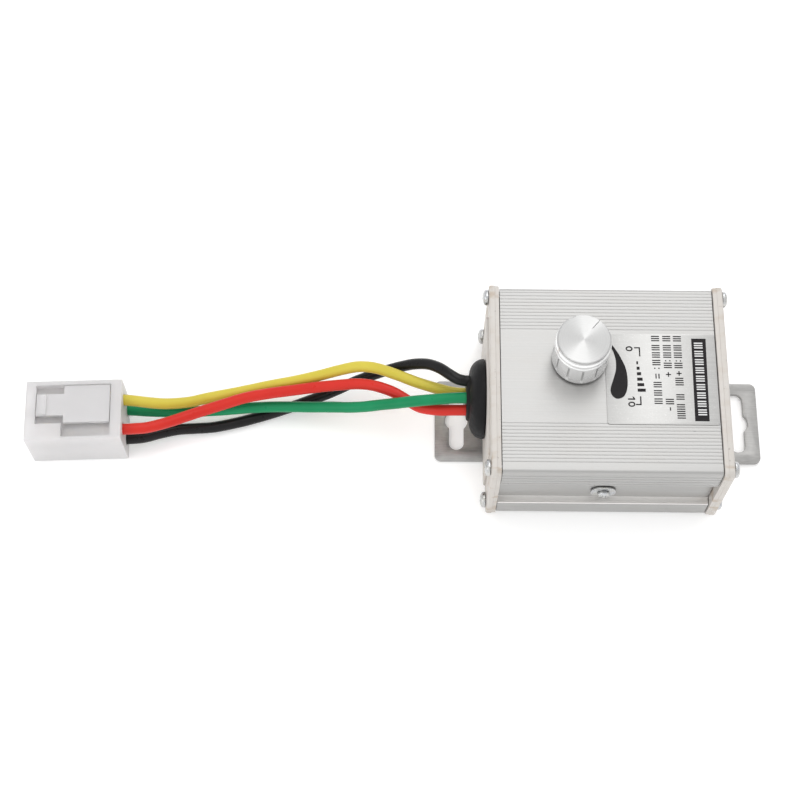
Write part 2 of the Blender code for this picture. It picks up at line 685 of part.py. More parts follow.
def make_power_stage(materials):
    """The heat bar on the front wall, with three tab devices screwed to it."""
    back = -SKIN_WIDTH / 2 + WALL + CHANNEL_DEPTH + GAP
    face = back + BAR_THICK
    stock = box((-BAR_HALF, back, BAR_Z[0]), (BAR_HALF, face, BAR_Z[1]))
    bar = add_object("heat_bar", stock, materials["heat_bar_aluminium"])
    cut(bar, cylinder(SHANK_HOLE, -1, 8, 16), (SIDE_SCREW_X, back, SIDE_SCREW_Z), (0, 1, 0))
    tab = face + GAP
    for number, (name, x) in enumerate(DEVICES, start=1):
        left, right = x - DEVICE_HALF, x + DEVICE_HALF
        body = box((left, tab, DEVICE_Z[0]), (right, tab + DEVICE_THICK, DEVICE_Z[1]))
        device = add_object(name, body, materials["moulded_black"])
        fuse(device, box((left, tab, DEVICE_Z[1] - 0.4), (right, tab + TAB_THICK, BAR_Z[1])))
        legs = (-PIN_PITCH, PIN_PITCH) if name == "flyback_diode" else (-PIN_PITCH, 0, PIN_PITCH)
        foot = BOARD_TOP + GAP
        for pin in [x + leg for leg in legs]:
            fuse(device, box((pin - 0.4, tab + 2.0, foot), (pin + 0.4, tab + 2.6, DEVICE_Z[0] + 0.6)))
        for piece in (device, bar):
            cut(piece, cylinder(SHANK_HOLE, -5, 4, 16), (x, tab, TAB_HOLE_Z), (0, 1, 0))
        screw = make_pan_screw(f"clamp_screw_{number}", CLAMP_SCREW_LONG, materials["zinc_plate"])
        place(screw, (x, tab + TAB_THICK + GAP, TAB_HOLE_Z), (0, 1, 0), math.radians(15 * number))


def make_potentiometer(materials):
    """A single-turn potentiometer hung under the roof by its bushing, washer and nut."""
    roof, bore, bore_end = SKIN_TOP - ROOF, SHAFT_R + GAP, SHAFT_LOW - GAP
    case = [
        (0, POT_LOW), (POT_R - 0.6, POT_LOW), (POT_R, POT_LOW + 0.6), (POT_R, roof - GAP),
        (BUSH_R, roof - GAP), (BUSH_R, BUSH_TOP), (bore, BUSH_TOP), (bore, bore_end), (0, bore_end),
    ]
    pot = add_object("potentiometer", lathe(case, 24), materials["pot_steel"], smooth=True)
    for step in (-1, 0, 1):
        left, front = POT_TAG_PITCH * step - 0.9, -POT_R - POT_TAG_REACH
        fuse(pot, box((left, front, POT_TAG_Z), (left + 1.8, front + 2 * POT_TAG_REACH, POT_TAG_Z + 0.8)))
    place(pot, (KNOB_X, KNOB_Y, 0))
    hole, rim = BUSH_R + GAP, NUT_R + 0.3
    washer = lathe([(hole, 0), (rim, 0), (rim, WASHER_THICK), (hole, WASHER_THICK)], 24, ring=True)
    ring = add_object("bushing_washer", washer, materials["zinc_plate"], smooth=True)
    place(ring, (KNOB_X, KNOB_Y, SKIN_TOP + GAP))
    nut = add_object("bushing_nut", cylinder(NUT_R, 0, NUT_HIGH, 6), materials["zinc_plate"])
    cut(nut, cylinder(hole, -1, 4))
    place(nut, (KNOB_X, KNOB_Y, SKIN_TOP + WASHER_THICK + 2 * GAP), turn=math.radians(17))


def make_knob(materials):
    """The knob shell, its insert and the shaft, all turning about the axis at KNOB_X, KNOB_Y."""
    axle = bpy.data.objects.new("knob_axle", None)
    axle.location = (KNOB_X * MM, KNOB_Y * MM, 0)
    bpy.context.scene.collection.objects.link(axle)
    bottom, top = KNOB_BASE, KNOB_BASE + KNOB_HIGH
    socket, socket_top = INSERT_R + GAP, INSERT_TOP + GAP
    shell = [
        (KNOB_BORE_R, bottom), (KNOB_R - 0.2, bottom), (KNOB_R, bottom + 0.2), (KNOB_R, top - 5.0),
        (KNOB_R - 0.45, top - 4.6), (KNOB_R - 0.45, top - 3.9), (KNOB_R, top - 3.5), (KNOB_R, top - 2.4),
        (KNOB_FACE_R + 0.2, top - 1.0), (KNOB_FACE_R, top - 0.5), (KNOB_FACE_R - 0.4, top), (0, top),
        (0, socket_top), (socket, socket_top), (socket, KNOB_BORE_TOP), (KNOB_BORE_R, KNOB_BORE_TOP),
    ]
    knob = add_object("knob", lathe(shell, 48, ring=True), materials["knob_aluminium"], smooth=True)
    for i in range(KNOB_GROOVES):
        slit = box((KNOB_R - 0.4, -0.45, bottom + 1.4), (KNOB_R + 1, 0.45, top - 5.4))
        cut(knob, slit, turn=math.tau * i / KNOB_GROOVES)
    pointer = box((POINTER_FROM, -POINTER_WIDTH / 2, top - 0.35), (KNOB_R + 2, POINTER_WIDTH / 2, top + 1))
    cut(knob, pointer, turn=KNOB_REST_TURN)
    key_turn = KNOB_REST_TURN + math.pi
    bore, low = SHAFT_R + 0.35, KNOB_BORE_TOP + GAP
    sleeve = lathe([(bore, low), (INSERT_R, low), (INSERT_R, INSERT_TOP), (bore, INSERT_TOP)], 24, ring=True)
    insert = add_object("knob_insert", sleeve, materials["insert_plastic"], smooth=True)
    fuse(insert, box((SHAFT_FLAT + GAP, -1.6, 47.0), (INSERT_R - 0.8, 1.6, SHAFT_TOP)), turn=key_turn)
    shaft = add_object(
        "pot_shaft", cylinder(SHAFT_R, SHAFT_LOW, SHAFT_TOP, 24), materials["knob_aluminium"], smooth=True
    )
    cut(shaft, box((SHAFT_FLAT, -4, 46.0), (5, 4, 55.0)), turn=key_turn)
    for piece in (knob, insert, shaft):
        piece.parent = axle


def make_pot_leads(materials):
    """Three thin leads, each from a tag of the potentiometer down to the board."""
    for number, step in enumerate((-1, 0, 1), start=1):
        x, y = KNOB_X + POT_TAG_PITCH * step, KNOB_Y - POT_R
        route = [
            (x, y - 2.2, 31.6), (x, y - 2.6, 28.0), (x + 1.2 * step, y - 1.8, 23.0),
            (x + 1.6 * step, y - 0.8, 18.0), (x + 1.6 * step, y - 0.6, BOARD_TOP + GAP),
        ]
        colour = "wire_red" if step else "wire_black"
        wire(f"pot_lead_{number}", route, POT_WIRE_R, materials[colour], LEAD_SAMPLES)


def make_wires(materials):
    for colour, route in ROUTES.items():
        wire(f"wire_{colour}", route, WIRE_R, materials[f"wire_{colour}"], WIRE_SAMPLES)
    for colour, route in INNER_LEADS.items():
        wire(f"inner_lead_{colour}", route, WIRE_R, materials[f"wire_{colour}"], LEAD_SAMPLES)


def cavity_places():
    return [(side * CAVITY_Y, z) for z in CAVITY_ROWS for side in (-1, 1)]


def make_connector(materials):
    """The connector, built on its own axes: mating face at -X, wires at +X, standing on the floor."""
    seat = bpy.data.objects.new("connector_seat", None)
    seat.location = (PLUG_X * MM, PLUG_Y * MM, 0)
    seat.rotation_euler = (0, 0, PLUG_TURN)
    bpy.context.scene.collection.objects.link(seat)
    half, side = PLUG_LENGTH / 2, PLUG_WIDTH / 2
    block = prism(rounded_rectangle(-side, 0, side, PLUG_HIGH, 0.7, 2), "X", -half, half)
    shell = add_object("connector_housing", block, materials["nylon"])
    tip, step, back = POCKET_X
    front, beside, rear = POCKET_Y
    cut(shell, box((tip, beside, LATCH_FLOOR), (step + 1, rear, PLUG_HIGH + 2)))
    cut(shell, box((step, front, LATCH_FLOOR), (back, rear, PLUG_HIGH + 2)))
    for post in (LATCH_Y - 3.1, LATCH_Y + 2.5):
        left, right = LATCH_PIVOT_X - 0.8, LATCH_PIVOT_X + 0.8
        fuse(shell, box((left, post, LATCH_FLOOR - 0.5), (right, post + 0.8, LATCH_UNDER - GAP)))
    wide, tall = CAVITY_WIDTH / 2, CAVITY_HIGH / 2
    for y, z in cavity_places():
        cut(shell, box((-half - 2, y - wide, z - tall), (CAVITY_END, y + wide, z + tall)))
        cut(shell, cylinder(TUNNEL_R, CAVITY_END - 0.5, half + 2, 16), (0, y, z), (1, 0, 0))
    pieces = [shell, make_latch(materials), *make_terminals(materials)]
    for piece in pieces:
        piece.parent = seat


def make_latch(materials):
    """The T-shaped lever on top: its thumb pad faces the wires, and its tongue the mating face."""
    pad_low, pad_high = LATCH_Y - LATCH_PAD_HALF, LATCH_Y + LATCH_PAD_HALF
    tongue_low, tongue_high = LATCH_Y - LATCH_TONGUE_HALF, LATCH_Y + LATCH_TONGUE_HALF
    shoulder, back = LATCH_PAD_X
    tip, top = LATCH_TONGUE_X, LATCH_TOP
    outline = [
        (back, pad_low), (back, pad_high), (shoulder, pad_high), (shoulder, tongue_high),
        (tip, tongue_high), (tip, tongue_low), (shoulder, tongue_low), (shoulder, pad_low),
    ]
    latch = add_object("connector_latch", prism(outline, "Z", LATCH_UNDER, top), materials["nylon"])
    crest = top + LATCH_RAMP
    ramp = [(tip + 0.3, top - 0.5), (tip + 3.3, top - 0.5), (tip + 3.3, crest), (tip + 2.7, crest)]
    return fuse(latch, prism(ramp, "Y", tongue_low + 0.3, tongue_high - 0.3))


def make_terminals(materials):
    """Four receptacles: a floor with two rolled edges in front, a round crimp barrel behind."""
    made = []
    half, tall, thick = 3.6, 1.7, 0.8
    inside, roll = half - thick, tall - thick
    front = [
        (-half, -tall), (half, -tall), (half, tall), (0.4, tall), (0.4, roll), (inside, roll),
        (inside, -roll), (-inside, -roll), (-inside, roll), (-0.4, roll), (-0.4, tall), (-half, tall),
    ]
    end = TERMINAL_BACK
    barrel = [(0, 5.8), (1.7, 5.8), (1.7, 10.0), (CRIMP_R, 10.2), (CRIMP_R, end), (0, end)]
    for number, (y, z) in enumerate(cavity_places(), start=1):
        name = f"terminal_{number}"
        if not made:
            terminal = add_object(name, prism(front, "X", TERMINAL_FRONT, 0.5), materials["terminal_brass"])
            fuse(terminal, box((0.0, -1.4, -tall), (6.4, 1.4, -roll)))
            fuse(terminal, lathe(barrel, 16), (0, 0, 0), (1, 0, 0))
        else:
            terminal = share(name, made[0])
        place(terminal, (0, y, z))
        made.append(terminal)
    return made


def main():
    clear_scene()
    materials = make_materials()
    make_housing(materials)
    make_end_plates(materials)
    make_mounting_plate(materials)
    make_end_screws(materials)
    make_side_screw(materials)
    make_plate_screws(materials)
    make_grommet(materials)
    make_label(materials)
    make_board(materials)
    make_capacitors(materials)
    make_power_stage(materials)
    make_potentiometer(materials)
    make_knob(materials)
    make_pot_leads(materials)
    make_wires(materials)
    make_connector(materials)


main()
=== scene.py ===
"""Looks of the electronic speed controller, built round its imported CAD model.

Shapes are drawn in millimetres, in the model's own frame, and MM turns them into metres. Places come from
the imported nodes' boxes and from the record's joints. +X runs along the case away from the cable, -Y is the
front, and +Z is up.
"""

import json
import math

import bmesh
import bpy
from mathutils import Matrix, Vector, noise


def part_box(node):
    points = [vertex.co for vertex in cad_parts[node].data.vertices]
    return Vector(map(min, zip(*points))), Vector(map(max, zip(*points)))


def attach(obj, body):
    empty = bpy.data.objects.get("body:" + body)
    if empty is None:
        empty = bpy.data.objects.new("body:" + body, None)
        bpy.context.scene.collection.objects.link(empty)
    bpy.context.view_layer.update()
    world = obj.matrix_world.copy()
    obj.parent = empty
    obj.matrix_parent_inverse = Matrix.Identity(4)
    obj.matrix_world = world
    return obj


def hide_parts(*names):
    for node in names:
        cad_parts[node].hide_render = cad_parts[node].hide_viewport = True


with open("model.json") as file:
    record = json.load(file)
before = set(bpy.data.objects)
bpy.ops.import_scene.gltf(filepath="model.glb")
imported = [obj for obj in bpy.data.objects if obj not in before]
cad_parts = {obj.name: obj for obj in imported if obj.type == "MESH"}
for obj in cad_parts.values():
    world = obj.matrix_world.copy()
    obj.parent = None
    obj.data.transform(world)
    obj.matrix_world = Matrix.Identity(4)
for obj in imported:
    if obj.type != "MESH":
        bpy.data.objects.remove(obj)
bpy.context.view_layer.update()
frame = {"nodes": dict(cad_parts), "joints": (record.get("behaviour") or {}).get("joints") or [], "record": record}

MM = 0.001
CASE, KNOB, LATCH = "case", "knob", "latch"
SLOT_OF = {part["node"]: part["material_slot"] for part in frame["record"]["subparts"]}
JOINTS = {joint["name"]: joint for joint in frame["joints"]}

# Cable: the route of each free wire, from the grommet to the connector, in metres.
WIRE_R = 1.95
WIRE_IN_GROMMET, WIRE_IN_TUNNEL = 2.2, 6.0  # how far a wire runs on into its hole at either end
ROUTES = {
    "black": [
        (-0.0478, 0.0052, 0.0252), (-0.0504, 0.0057, 0.0256), (-0.0534, 0.0077, 0.0254),
        (-0.0566, 0.0104, 0.0242), (-0.0605, 0.0128, 0.0219), (-0.0650, 0.0141, 0.0190),
        (-0.0690, 0.0145, 0.0163), (-0.0735, 0.0144, 0.0136), (-0.0775, 0.0140, 0.0114),
        (-0.0820, 0.0132, 0.0092), (-0.0865, 0.0120, 0.0075), (-0.0910, 0.0103, 0.0061),
        (-0.0960, 0.0084, 0.0049), (-0.1015, 0.0066, 0.0038), (-0.1090, 0.0040, 0.0028),
        (-0.1165, 0.0015, 0.0023), (-0.1260, -0.0014, 0.0022), (-0.1355, -0.0037, 0.0023),
        (-0.1420, -0.0044, 0.0025), (-0.1485, -0.0052, 0.0032), (-0.1545, -0.0070, 0.0042),
        (-0.1605, -0.0091, 0.0051), (-0.1661, -0.0098, 0.0054),
    ],
    "green": [
        (-0.0478, -0.0004, 0.0234), (-0.0525, -0.0004, 0.0229), (-0.0585, -0.0007, 0.0223),
        (-0.0650, -0.0010, 0.0214), (-0.0710, -0.0009, 0.0192), (-0.0773, -0.0005, 0.0164),
        (-0.0830, -0.0002, 0.0139), (-0.0885, 0.0004, 0.0118), (-0.0945, 0.0012, 0.0100),
        (-0.1010, 0.0016, 0.0088), (-0.1085, 0.0020, 0.0079), (-0.1160, 0.0022, 0.0072),
        (-0.1245, 0.0018, 0.0068), (-0.1333, 0.0011, 0.0064), (-0.1420, 0.0007, 0.0060),
        (-0.1505, 0.0006, 0.0056), (-0.1585, 0.0008, 0.0054), (-0.1661, 0.0012, 0.0054),
    ],
    "red": [
        (-0.0478, -0.0032, 0.0190), (-0.0520, -0.0030, 0.0184), (-0.0570, -0.0027, 0.0176),
        (-0.0625, -0.0016, 0.0168), (-0.0660, 0.0003, 0.0164), (-0.0693, 0.0026, 0.0163),
        (-0.0730, 0.0047, 0.0163), (-0.0775, 0.0064, 0.0162), (-0.0815, 0.0074, 0.0159),
        (-0.0860, 0.0078, 0.0155), (-0.0920, 0.0075, 0.0149), (-0.0990, 0.0070, 0.0142),
        (-0.1080, 0.0060, 0.0134), (-0.1165, 0.0049, 0.0129), (-0.1248, 0.0033, 0.0125),
        (-0.1330, 0.0006, 0.0122), (-0.1414, -0.0024, 0.0122), (-0.1500, -0.0060, 0.0130),
        (-0.1575, -0.0087, 0.0140), (-0.1625, -0.0095, 0.0145), (-0.1661, -0.0098, 0.0146),
    ],
    "yellow": [
        (-0.0478, 0.0040, 0.0170), (-0.0510, 0.0042, 0.0170), (-0.0550, 0.0050, 0.0172),
        (-0.0600, 0.0063, 0.0176), (-0.0650, 0.0078, 0.0180), (-0.0710, 0.0102, 0.0180),
        (-0.0775, 0.0126, 0.0178), (-0.0820, 0.0136, 0.0173), (-0.0860, 0.0138, 0.0166),
        (-0.0920, 0.0130, 0.0152), (-0.0990, 0.0116, 0.0136), (-0.1080, 0.0102, 0.0116),
        (-0.1165, 0.0090, 0.0102), (-0.1270, 0.0068, 0.0095), (-0.1380, 0.0044, 0.0095),
        (-0.1450, 0.0024, 0.0102), (-0.1525, 0.0012, 0.0116), (-0.1580, 0.0009, 0.0132),
        (-0.1625, 0.0010, 0.0143), (-0.1661, 0.0012, 0.0146),
    ],
}


# ---- Shapes


def span(node):
    """The lowest and highest corner of a CAD node, in millimetres."""
    low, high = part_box(node)
    return low / MM, high / MM


def middle(node):
    low, high = span(node)
    return (low + high) / 2


def add_mesh(name, bm, material=None, smooth=35):
    """A bmesh in millimetres as an object in metres, smooth but for edges sharper than an angle."""
    bmesh.ops.scale(bm, vec=(MM, MM, MM), verts=bm.verts)
    bmesh.ops.remove_doubles(bm, verts=bm.verts, dist=1e-7)
    bmesh.ops.recalc_face_normals(bm, faces=bm.faces)
    mesh = bpy.data.meshes.new(name)
    bm.to_mesh(mesh)
    bm.free()
    if material is not None:
        mesh.materials.append(material)
    mesh.shade_smooth()
    mesh.set_sharp_from_angle(angle=math.radians(smooth))
    obj = bpy.data.objects.new(name, mesh)
    bpy.context.scene.collection.objects.link(obj)
    return obj


def show(obj, body, *nodes):
    """Makes an object stand for CAD nodes and ride on a body."""
    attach(obj, body)
    if nodes:
        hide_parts(*nodes)
    return obj


def place(obj, position, towards=(0, 0, 1), turn=0.0):
    swing = Vector((0, 0, 1)).rotation_difference(Vector(towards)).to_matrix().to_4x4()
    obj.matrix_world = Matrix.Translation(Vector(position) * MM) @ swing @ Matrix.Rotation(turn, 4, "Z")
    return obj


def twin(name, source):
    """A second object that shares the mesh of a repeated piece."""
    obj = bpy.data.objects.new(name, source.data)
    bpy.context.scene.collection.objects.link(obj)
    return obj


def solve(target, tool, operation):
    """Applies a Boolean of one object with another, removes the other, and keeps the shading."""
    modifier = target.modifiers.new(operation.lower(), "BOOLEAN")
    modifier.operation = operation
    modifier.solver = "EXACT"
    modifier.object = tool
    graph = bpy.context.evaluated_depsgraph_get()
    target.data = bpy.data.meshes.new_from_object(target.evaluated_get(graph))
    target.modifiers.clear()
    bpy.data.objects.remove(tool)
    return target


def cut(target, bm, position=(0, 0, 0), towards=(0, 0, 1), turn=0.0):
    tool = place(add_mesh("cutter", bm), position, towards, turn)
    return solve(target, tool, "DIFFERENCE")


def fuse(target, bm, position=(0, 0, 0), towards=(0, 0, 1), turn=0.0):
    tool = place(add_mesh("lump", bm), position, towards, turn)
    return solve(target, tool, "UNION")


def soften(obj, width, segments=2, angle=40):
    """Rounds an object's sharp edges with modifiers, so that they catch the light."""
    bevel = obj.modifiers.new("soft_edges", "BEVEL")
    bevel.width = width * MM
    bevel.segments = segments
    bevel.limit_method = "ANGLE"
    bevel.angle_limit = math.radians(angle)
    obj.modifiers.new("shading", "WEIGHTED_NORMAL").keep_sharp = False
    return obj


def resmooth(obj, angle=35):
    obj.data.shade_smooth()
    obj.data.set_sharp_from_angle(angle=math.radians(angle))
    return obj


def prism(outline, low, high, axis="Z"):
    """An outline extruded along an axis: (x, y) along Z, (y, z) along X, (x, z) along Y."""
    order = {"X": lambda a, b, t: (t, a, b), "Y": lambda a, b, t: (a, t, b), "Z": lambda a, b, t: (a, b, t)}
    bm = bmesh.new()
    verts = [bm.verts.new(order[axis](a, b, low)) for a, b in outline]
    grown = bmesh.ops.extrude_face_region(bm, geom=[bm.faces.new(verts)])["geom"]
    moved = [item for item in grown if isinstance(item, bmesh.types.BMVert)]
    bmesh.ops.translate(bm, verts=moved, vec=order[axis](0, 0, high - low))
    return bm


def block(low, high):
    """A box between two opposite corners."""
    corners = [(low[0], low[1]), (high[0], low[1]), (high[0], high[1]), (low[0], high[1])]
    return prism(corners, low[2], high[2])


def loft(rings):
    """A skin over rings of points, closed at both ends."""
    bm = bmesh.new()
    loops = [[bm.verts.new(point) for point in ring] for ring in rings]
    for first, second in zip(loops, loops[1:]):
        for i in range(len(first)):
            after = (i + 1) % len(first)
            bm.faces.new((first[i], first[after], second[after], second[i]))
    bm.faces.new(loops[0])
    bm.faces.new(loops[-1])
    return bm


def lathe(profile, steps=64, ring=False):
    """A profile of (radius, height) points turned about +Z."""
    bm = bmesh.new()
    verts = [bm.verts.new((radius, 0, height)) for radius, height in profile]
    edges = [bm.edges.new(pair) for pair in zip(verts, verts[1:])]
    if ring:
        edges.append(bm.edges.new((verts[-1], verts[0])))
    bmesh.ops.spin(
        bm, geom=verts + edges, cent=(0, 0, 0), axis=(0, 0, 1), angle=math.tau, steps=steps, use_merge=True
    )
    bmesh.ops.remove_doubles(bm, verts=bm.verts, dist=1e-4)
    return bm


def cylinder(radius, low, high, steps=48):
    return lathe([(0, low), (radius, low), (radius, high), (0, high)], steps)


def arc(cx, cy, radius, start, end, steps):
    """Points on a circle, with its angles in degrees."""
    angles = [math.radians(start + (end - start) * i / steps) for i in range(steps + 1)]
    return [(cx + radius * math.cos(a), cy + radius * math.sin(a)) for a in angles]


def rounded(x0, y0, x1, y1, radius, steps=8):
    """A rectangle with round corners."""
    return (
        arc(x1 - radius, y0 + radius, radius, -90, 0, steps)
        + arc(x1 - radius, y1 - radius, radius, 0, 90, steps)
        + arc(x0 + radius, y1 - radius, radius, 90, 180, steps)
        + arc(x0 + radius, y0 + radius, radius, 180, 270, steps)
    )


def smooth_line(points, samples, closed=False):
    """Evenly numbered points on a Catmull-Rom curve through a list of points."""
    route = [Vector(point) for point in points]
    if closed:
        route = [route[-1], *route, route[0], route[1]]
    else:
        route = [2 * route[0] - route[1], *route, 2 * route[-1] - route[-2]]
    legs = len(route) - 3
    line = []
    for i in range(samples):
        t = legs * i / (samples if closed else samples - 1)
        leg = min(int(t), legs - 1)
        u = t - leg
        a, b, c, d = route[leg:leg + 4]
        line.append(0.5 * (
            2 * b + (c - a) * u + (2 * a - 5 * b + 4 * c - d) * u ** 2 + (3 * b - a - 3 * c + d) * u ** 3
        ))
    return line


def sheet_with_holes(name, outlines, low, high, edge, material):
    """A flat sheet from a closed outline and its holes, with every edge rounded."""
    curve = bpy.data.curves.new(name, "CURVE")
    curve.dimensions = "2D"
    curve.fill_mode = "BOTH"
    curve.bevel_depth = edge * MM
    curve.bevel_resolution = 1
    curve.offset = -edge * MM
    curve.extrude = ((high - low) / 2 - edge) * MM
    for outline in outlines:
        spline = curve.splines.new("POLY")
        spline.points.add(len(outline) - 1)
        for point, (x, y) in zip(spline.points, outline):
            point.co = (x * MM, y * MM, 0, 1)
        spline.use_cyclic_u = True
    source = bpy.data.objects.new(name, curve)
    mesh = bpy.data.meshes.new_from_object(source)
    mesh.transform(Matrix.Translation((0, 0, (low + high) / 2 * MM)))
    bpy.data.objects.remove(source)
    bm = bmesh.new()
    bm.from_mesh(mesh)
    bmesh.ops.scale(bm, vec=(1 / MM,) * 3, verts=bm.verts)
    bmesh.ops.remove_doubles(bm, verts=bm.verts, dist=0.004)
    return add_mesh(name, bm, material)


# ---- Materials


def add_node(tree, kind, inputs=None, **settings):
    made = tree.nodes.new(kind)
    for name, value in settings.items():
        setattr(made, name, value)
    for name, value in (inputs or {}).items():
        if isinstance(value, bpy.types.NodeSocket):
            tree.links.new(value, made.inputs[name])
        else:
            made.inputs[name].default_value = value
    return made


def base_material(name, roughness, metallic=0.0, **fixed):
    """A Principled material, with the values that are the same all over set on its own sockets."""
    material = bpy.data.materials.new(name)
    material.use_nodes = True
    shader = material.node_tree.nodes["Principled BSDF"]
    shader.inputs["Roughness"].default_value = roughness
    shader.inputs["Metallic"].default_value = metallic
    for socket, value in fixed.items():
        shader.inputs[socket.replace("_", " ")].default_value = value
    return material, material.node_tree, shader


def grain(tree, scale, detail=4.0):
    """Noise with one scale, in cycles per metre, along each axis of the object, or one for all three."""
    if isinstance(scale, float):
        scale = (scale,) * 3
    where = add_node(tree, "ShaderNodeTexCoord").outputs["Object"]
    mapped = add_node(tree, "ShaderNodeMapping", {"Vector": where, "Scale": scale})
    made = add_node(tree, "ShaderNodeTexNoise", {
        "Vector": mapped.outputs["Vector"], "Scale": 1.0, "Detail": detail, "Roughness": 0.55,
    })
    return made.outputs["Fac"]


def levels(tree, value, low=0.3, high=0.7, to_low=0.0, to_high=1.0):
    """A value between two limits, spread over another range. The first limits suit noise."""
    return add_node(tree, "ShaderNodeMapRange", {
        "Value": value, "From Min": low, "From Max": high, "To Min": to_low, "To Max": to_high,
    }).outputs["Result"]


def compute(tree, operation, first, second=0.0):
    return add_node(tree, "ShaderNodeMath", {0: first, 1: second}, operation=operation).outputs["Value"]


def along_axis(tree, axis):
    """Where a point lies along one of the object's own axes, in metres."""
    where = add_node(tree, "ShaderNodeTexCoord").outputs["Object"]
    return add_node(tree, "ShaderNodeSeparateXYZ", {"Vector": where}).outputs[axis]


def tint(tree, factor, first, second):
    """A colour between two, by a factor."""
    mix = tree.nodes.new("ShaderNodeMix")
    mix.data_type = "RGBA"
    tree.links.new(factor, mix.inputs["Factor"])
    for socket, colour in (("A", first), ("B", second)):
        target = next(s for s in mix.inputs if s.name == socket and s.type == "RGBA")
        if isinstance(colour, bpy.types.NodeSocket):
            tree.links.new(colour, target)
        else:
            target.default_value = (*colour, 1.0)
    return next(s for s in mix.outputs if s.type == "RGBA")


def relief(tree, shader, height, distance, strength=1.0, before=None):
    """Adds bumps of a given height in millimetres to a shader."""
    inputs = {"Height": height, "Distance": distance * MM, "Strength": strength}
    if before is not None:
        inputs["Normal"] = before
    made = add_node(tree, "ShaderNodeBump", inputs).outputs["Normal"]
    tree.links.new(made, shader.inputs["Normal"])
    return made


def coat(tree, shader, colour, wear, smoothest, roughest):
    """Gives a shader its colour, and a roughness between two limits that follows some noise."""
    tree.links.new(colour, shader.inputs["Base Color"])
    tree.links.new(levels(tree, wear, to_low=smoothest, to_high=roughest), shader.inputs["Roughness"])


def extruded_aluminium():
    """Mill finish: die lines along X, faint blotches, a few dark nicks, and a painted highlight along the lower
    ledge of each side channel.
    """
    material, tree, shader = base_material("extruded_aluminium", 0.4, 0.8)
    lines = grain(tree, (9.0, 2600.0, 2600.0), 5.0)
    blotches = grain(tree, (70.0, 160.0, 160.0), 3.0)
    nicks = grain(tree, (420.0, 900.0, 900.0), 2.0)
    colour = tint(tree, levels(tree, lines), (0.375, 0.372, 0.365), (0.445, 0.442, 0.435))
    colour = tint(tree, levels(tree, blotches, 0.45, 0.75, 0.0, 0.35), colour, (0.41, 0.397, 0.38))
    colour = tint(tree, levels(tree, nicks, 0.765, 0.79, 0.0, 0.75), colour, (0.22, 0.22, 0.23))
    # Painted highlight: a thin band at the height of the channel's lower ledge is painted near white, standing in
    # for light the ledge does not catch.
    height = along_axis(tree, "Z")
    over = levels(tree, height, (CHANNEL_LOW - 0.25) * MM, (CHANNEL_LOW - 0.1) * MM)
    under = levels(tree, height, (CHANNEL_LOW + 0.03) * MM, (CHANNEL_LOW + 0.1) * MM, 1.0, 0.0)
    colour = tint(tree, compute(tree, "MINIMUM", over, under), colour, (0.90, 0.88, 0.86))
    tree.links.new(colour, shader.inputs["Base Color"])
    tree.links.new(levels(tree, lines, 0.25, 0.75, 0.34, 0.48), shader.inputs["Roughness"])
    relief(tree, shader, lines, 0.02, 0.35)
    return material


def cast_aluminium():
    """Die cast and tumbled: warm grey, slightly pitted, with brown marks near the screws."""
    material, tree, shader = base_material("cast_aluminium", 0.55, 0.35)
    patches = grain(tree, 140.0, 4.0)
    skin = grain(tree, 1500.0, 3.0)
    pits = grain(tree, 620.0, 2.0)
    colour = tint(tree, levels(tree, patches), (0.515, 0.485, 0.452), (0.58, 0.556, 0.528))
    aside = compute(tree, "ABSOLUTE", along_axis(tree, "Y"))
    corner = levels(tree, aside, 20 * MM, 31 * MM, 0.25, 1.0)
    blots = levels(tree, grain(tree, (90.0, 210.0, 210.0), 4.0), 0.52, 0.62, 0.0, 0.8)
    colour = tint(tree, compute(tree, "MULTIPLY", corner, blots), colour, (0.44, 0.37, 0.30))
    colour = tint(tree, levels(tree, pits, 0.70, 0.74, 0.0, 0.6), colour, (0.30, 0.27, 0.25))
    coat(tree, shader, colour, patches, 0.48, 0.64)
    first = relief(tree, shader, skin, 0.05, 0.5)
    relief(tree, shader, patches, 0.25, 0.5, first)
    return material


def sheet_steel():
    """Zinc-coated sheet, rolled along X, with short brush marks."""
    material, tree, shader = base_material("sheet_steel", 0.4, 0.6)
    brush = grain(tree, (160.0, 2400.0, 600.0), 4.0)
    clouds = grain(tree, (260.0, 320.0, 320.0), 4.0)
    colour = tint(tree, levels(tree, clouds), (0.29, 0.286, 0.28), (0.365, 0.36, 0.352))
    colour = tint(tree, levels(tree, brush, 0.4, 0.8, 0.0, 0.4), colour, (0.58, 0.58, 0.575))
    coat(tree, shader, colour, brush, 0.34, 0.52)
    relief(tree, shader, brush, 0.02, 0.4)
    return material


def zinc_plate():
    """Bright plated screws, with a faint yellow and blue cast and worn spots."""
    material, tree, shader = base_material("zinc_plate", 0.22, 1.0)
    cast = grain(tree, 500.0, 3.0)
    wear = grain(tree, 1800.0, 3.0)
    colour = tint(tree, levels(tree, cast, 0.35, 0.65), (0.52, 0.515, 0.49), (0.50, 0.51, 0.53))
    colour = tint(tree, levels(tree, wear, 0.62, 0.72, 0.0, 0.5), colour, (0.26, 0.24, 0.21))
    coat(tree, shader, colour, wear, 0.15, 0.36)
    relief(tree, shader, wear, 0.02, 0.35)
    return material


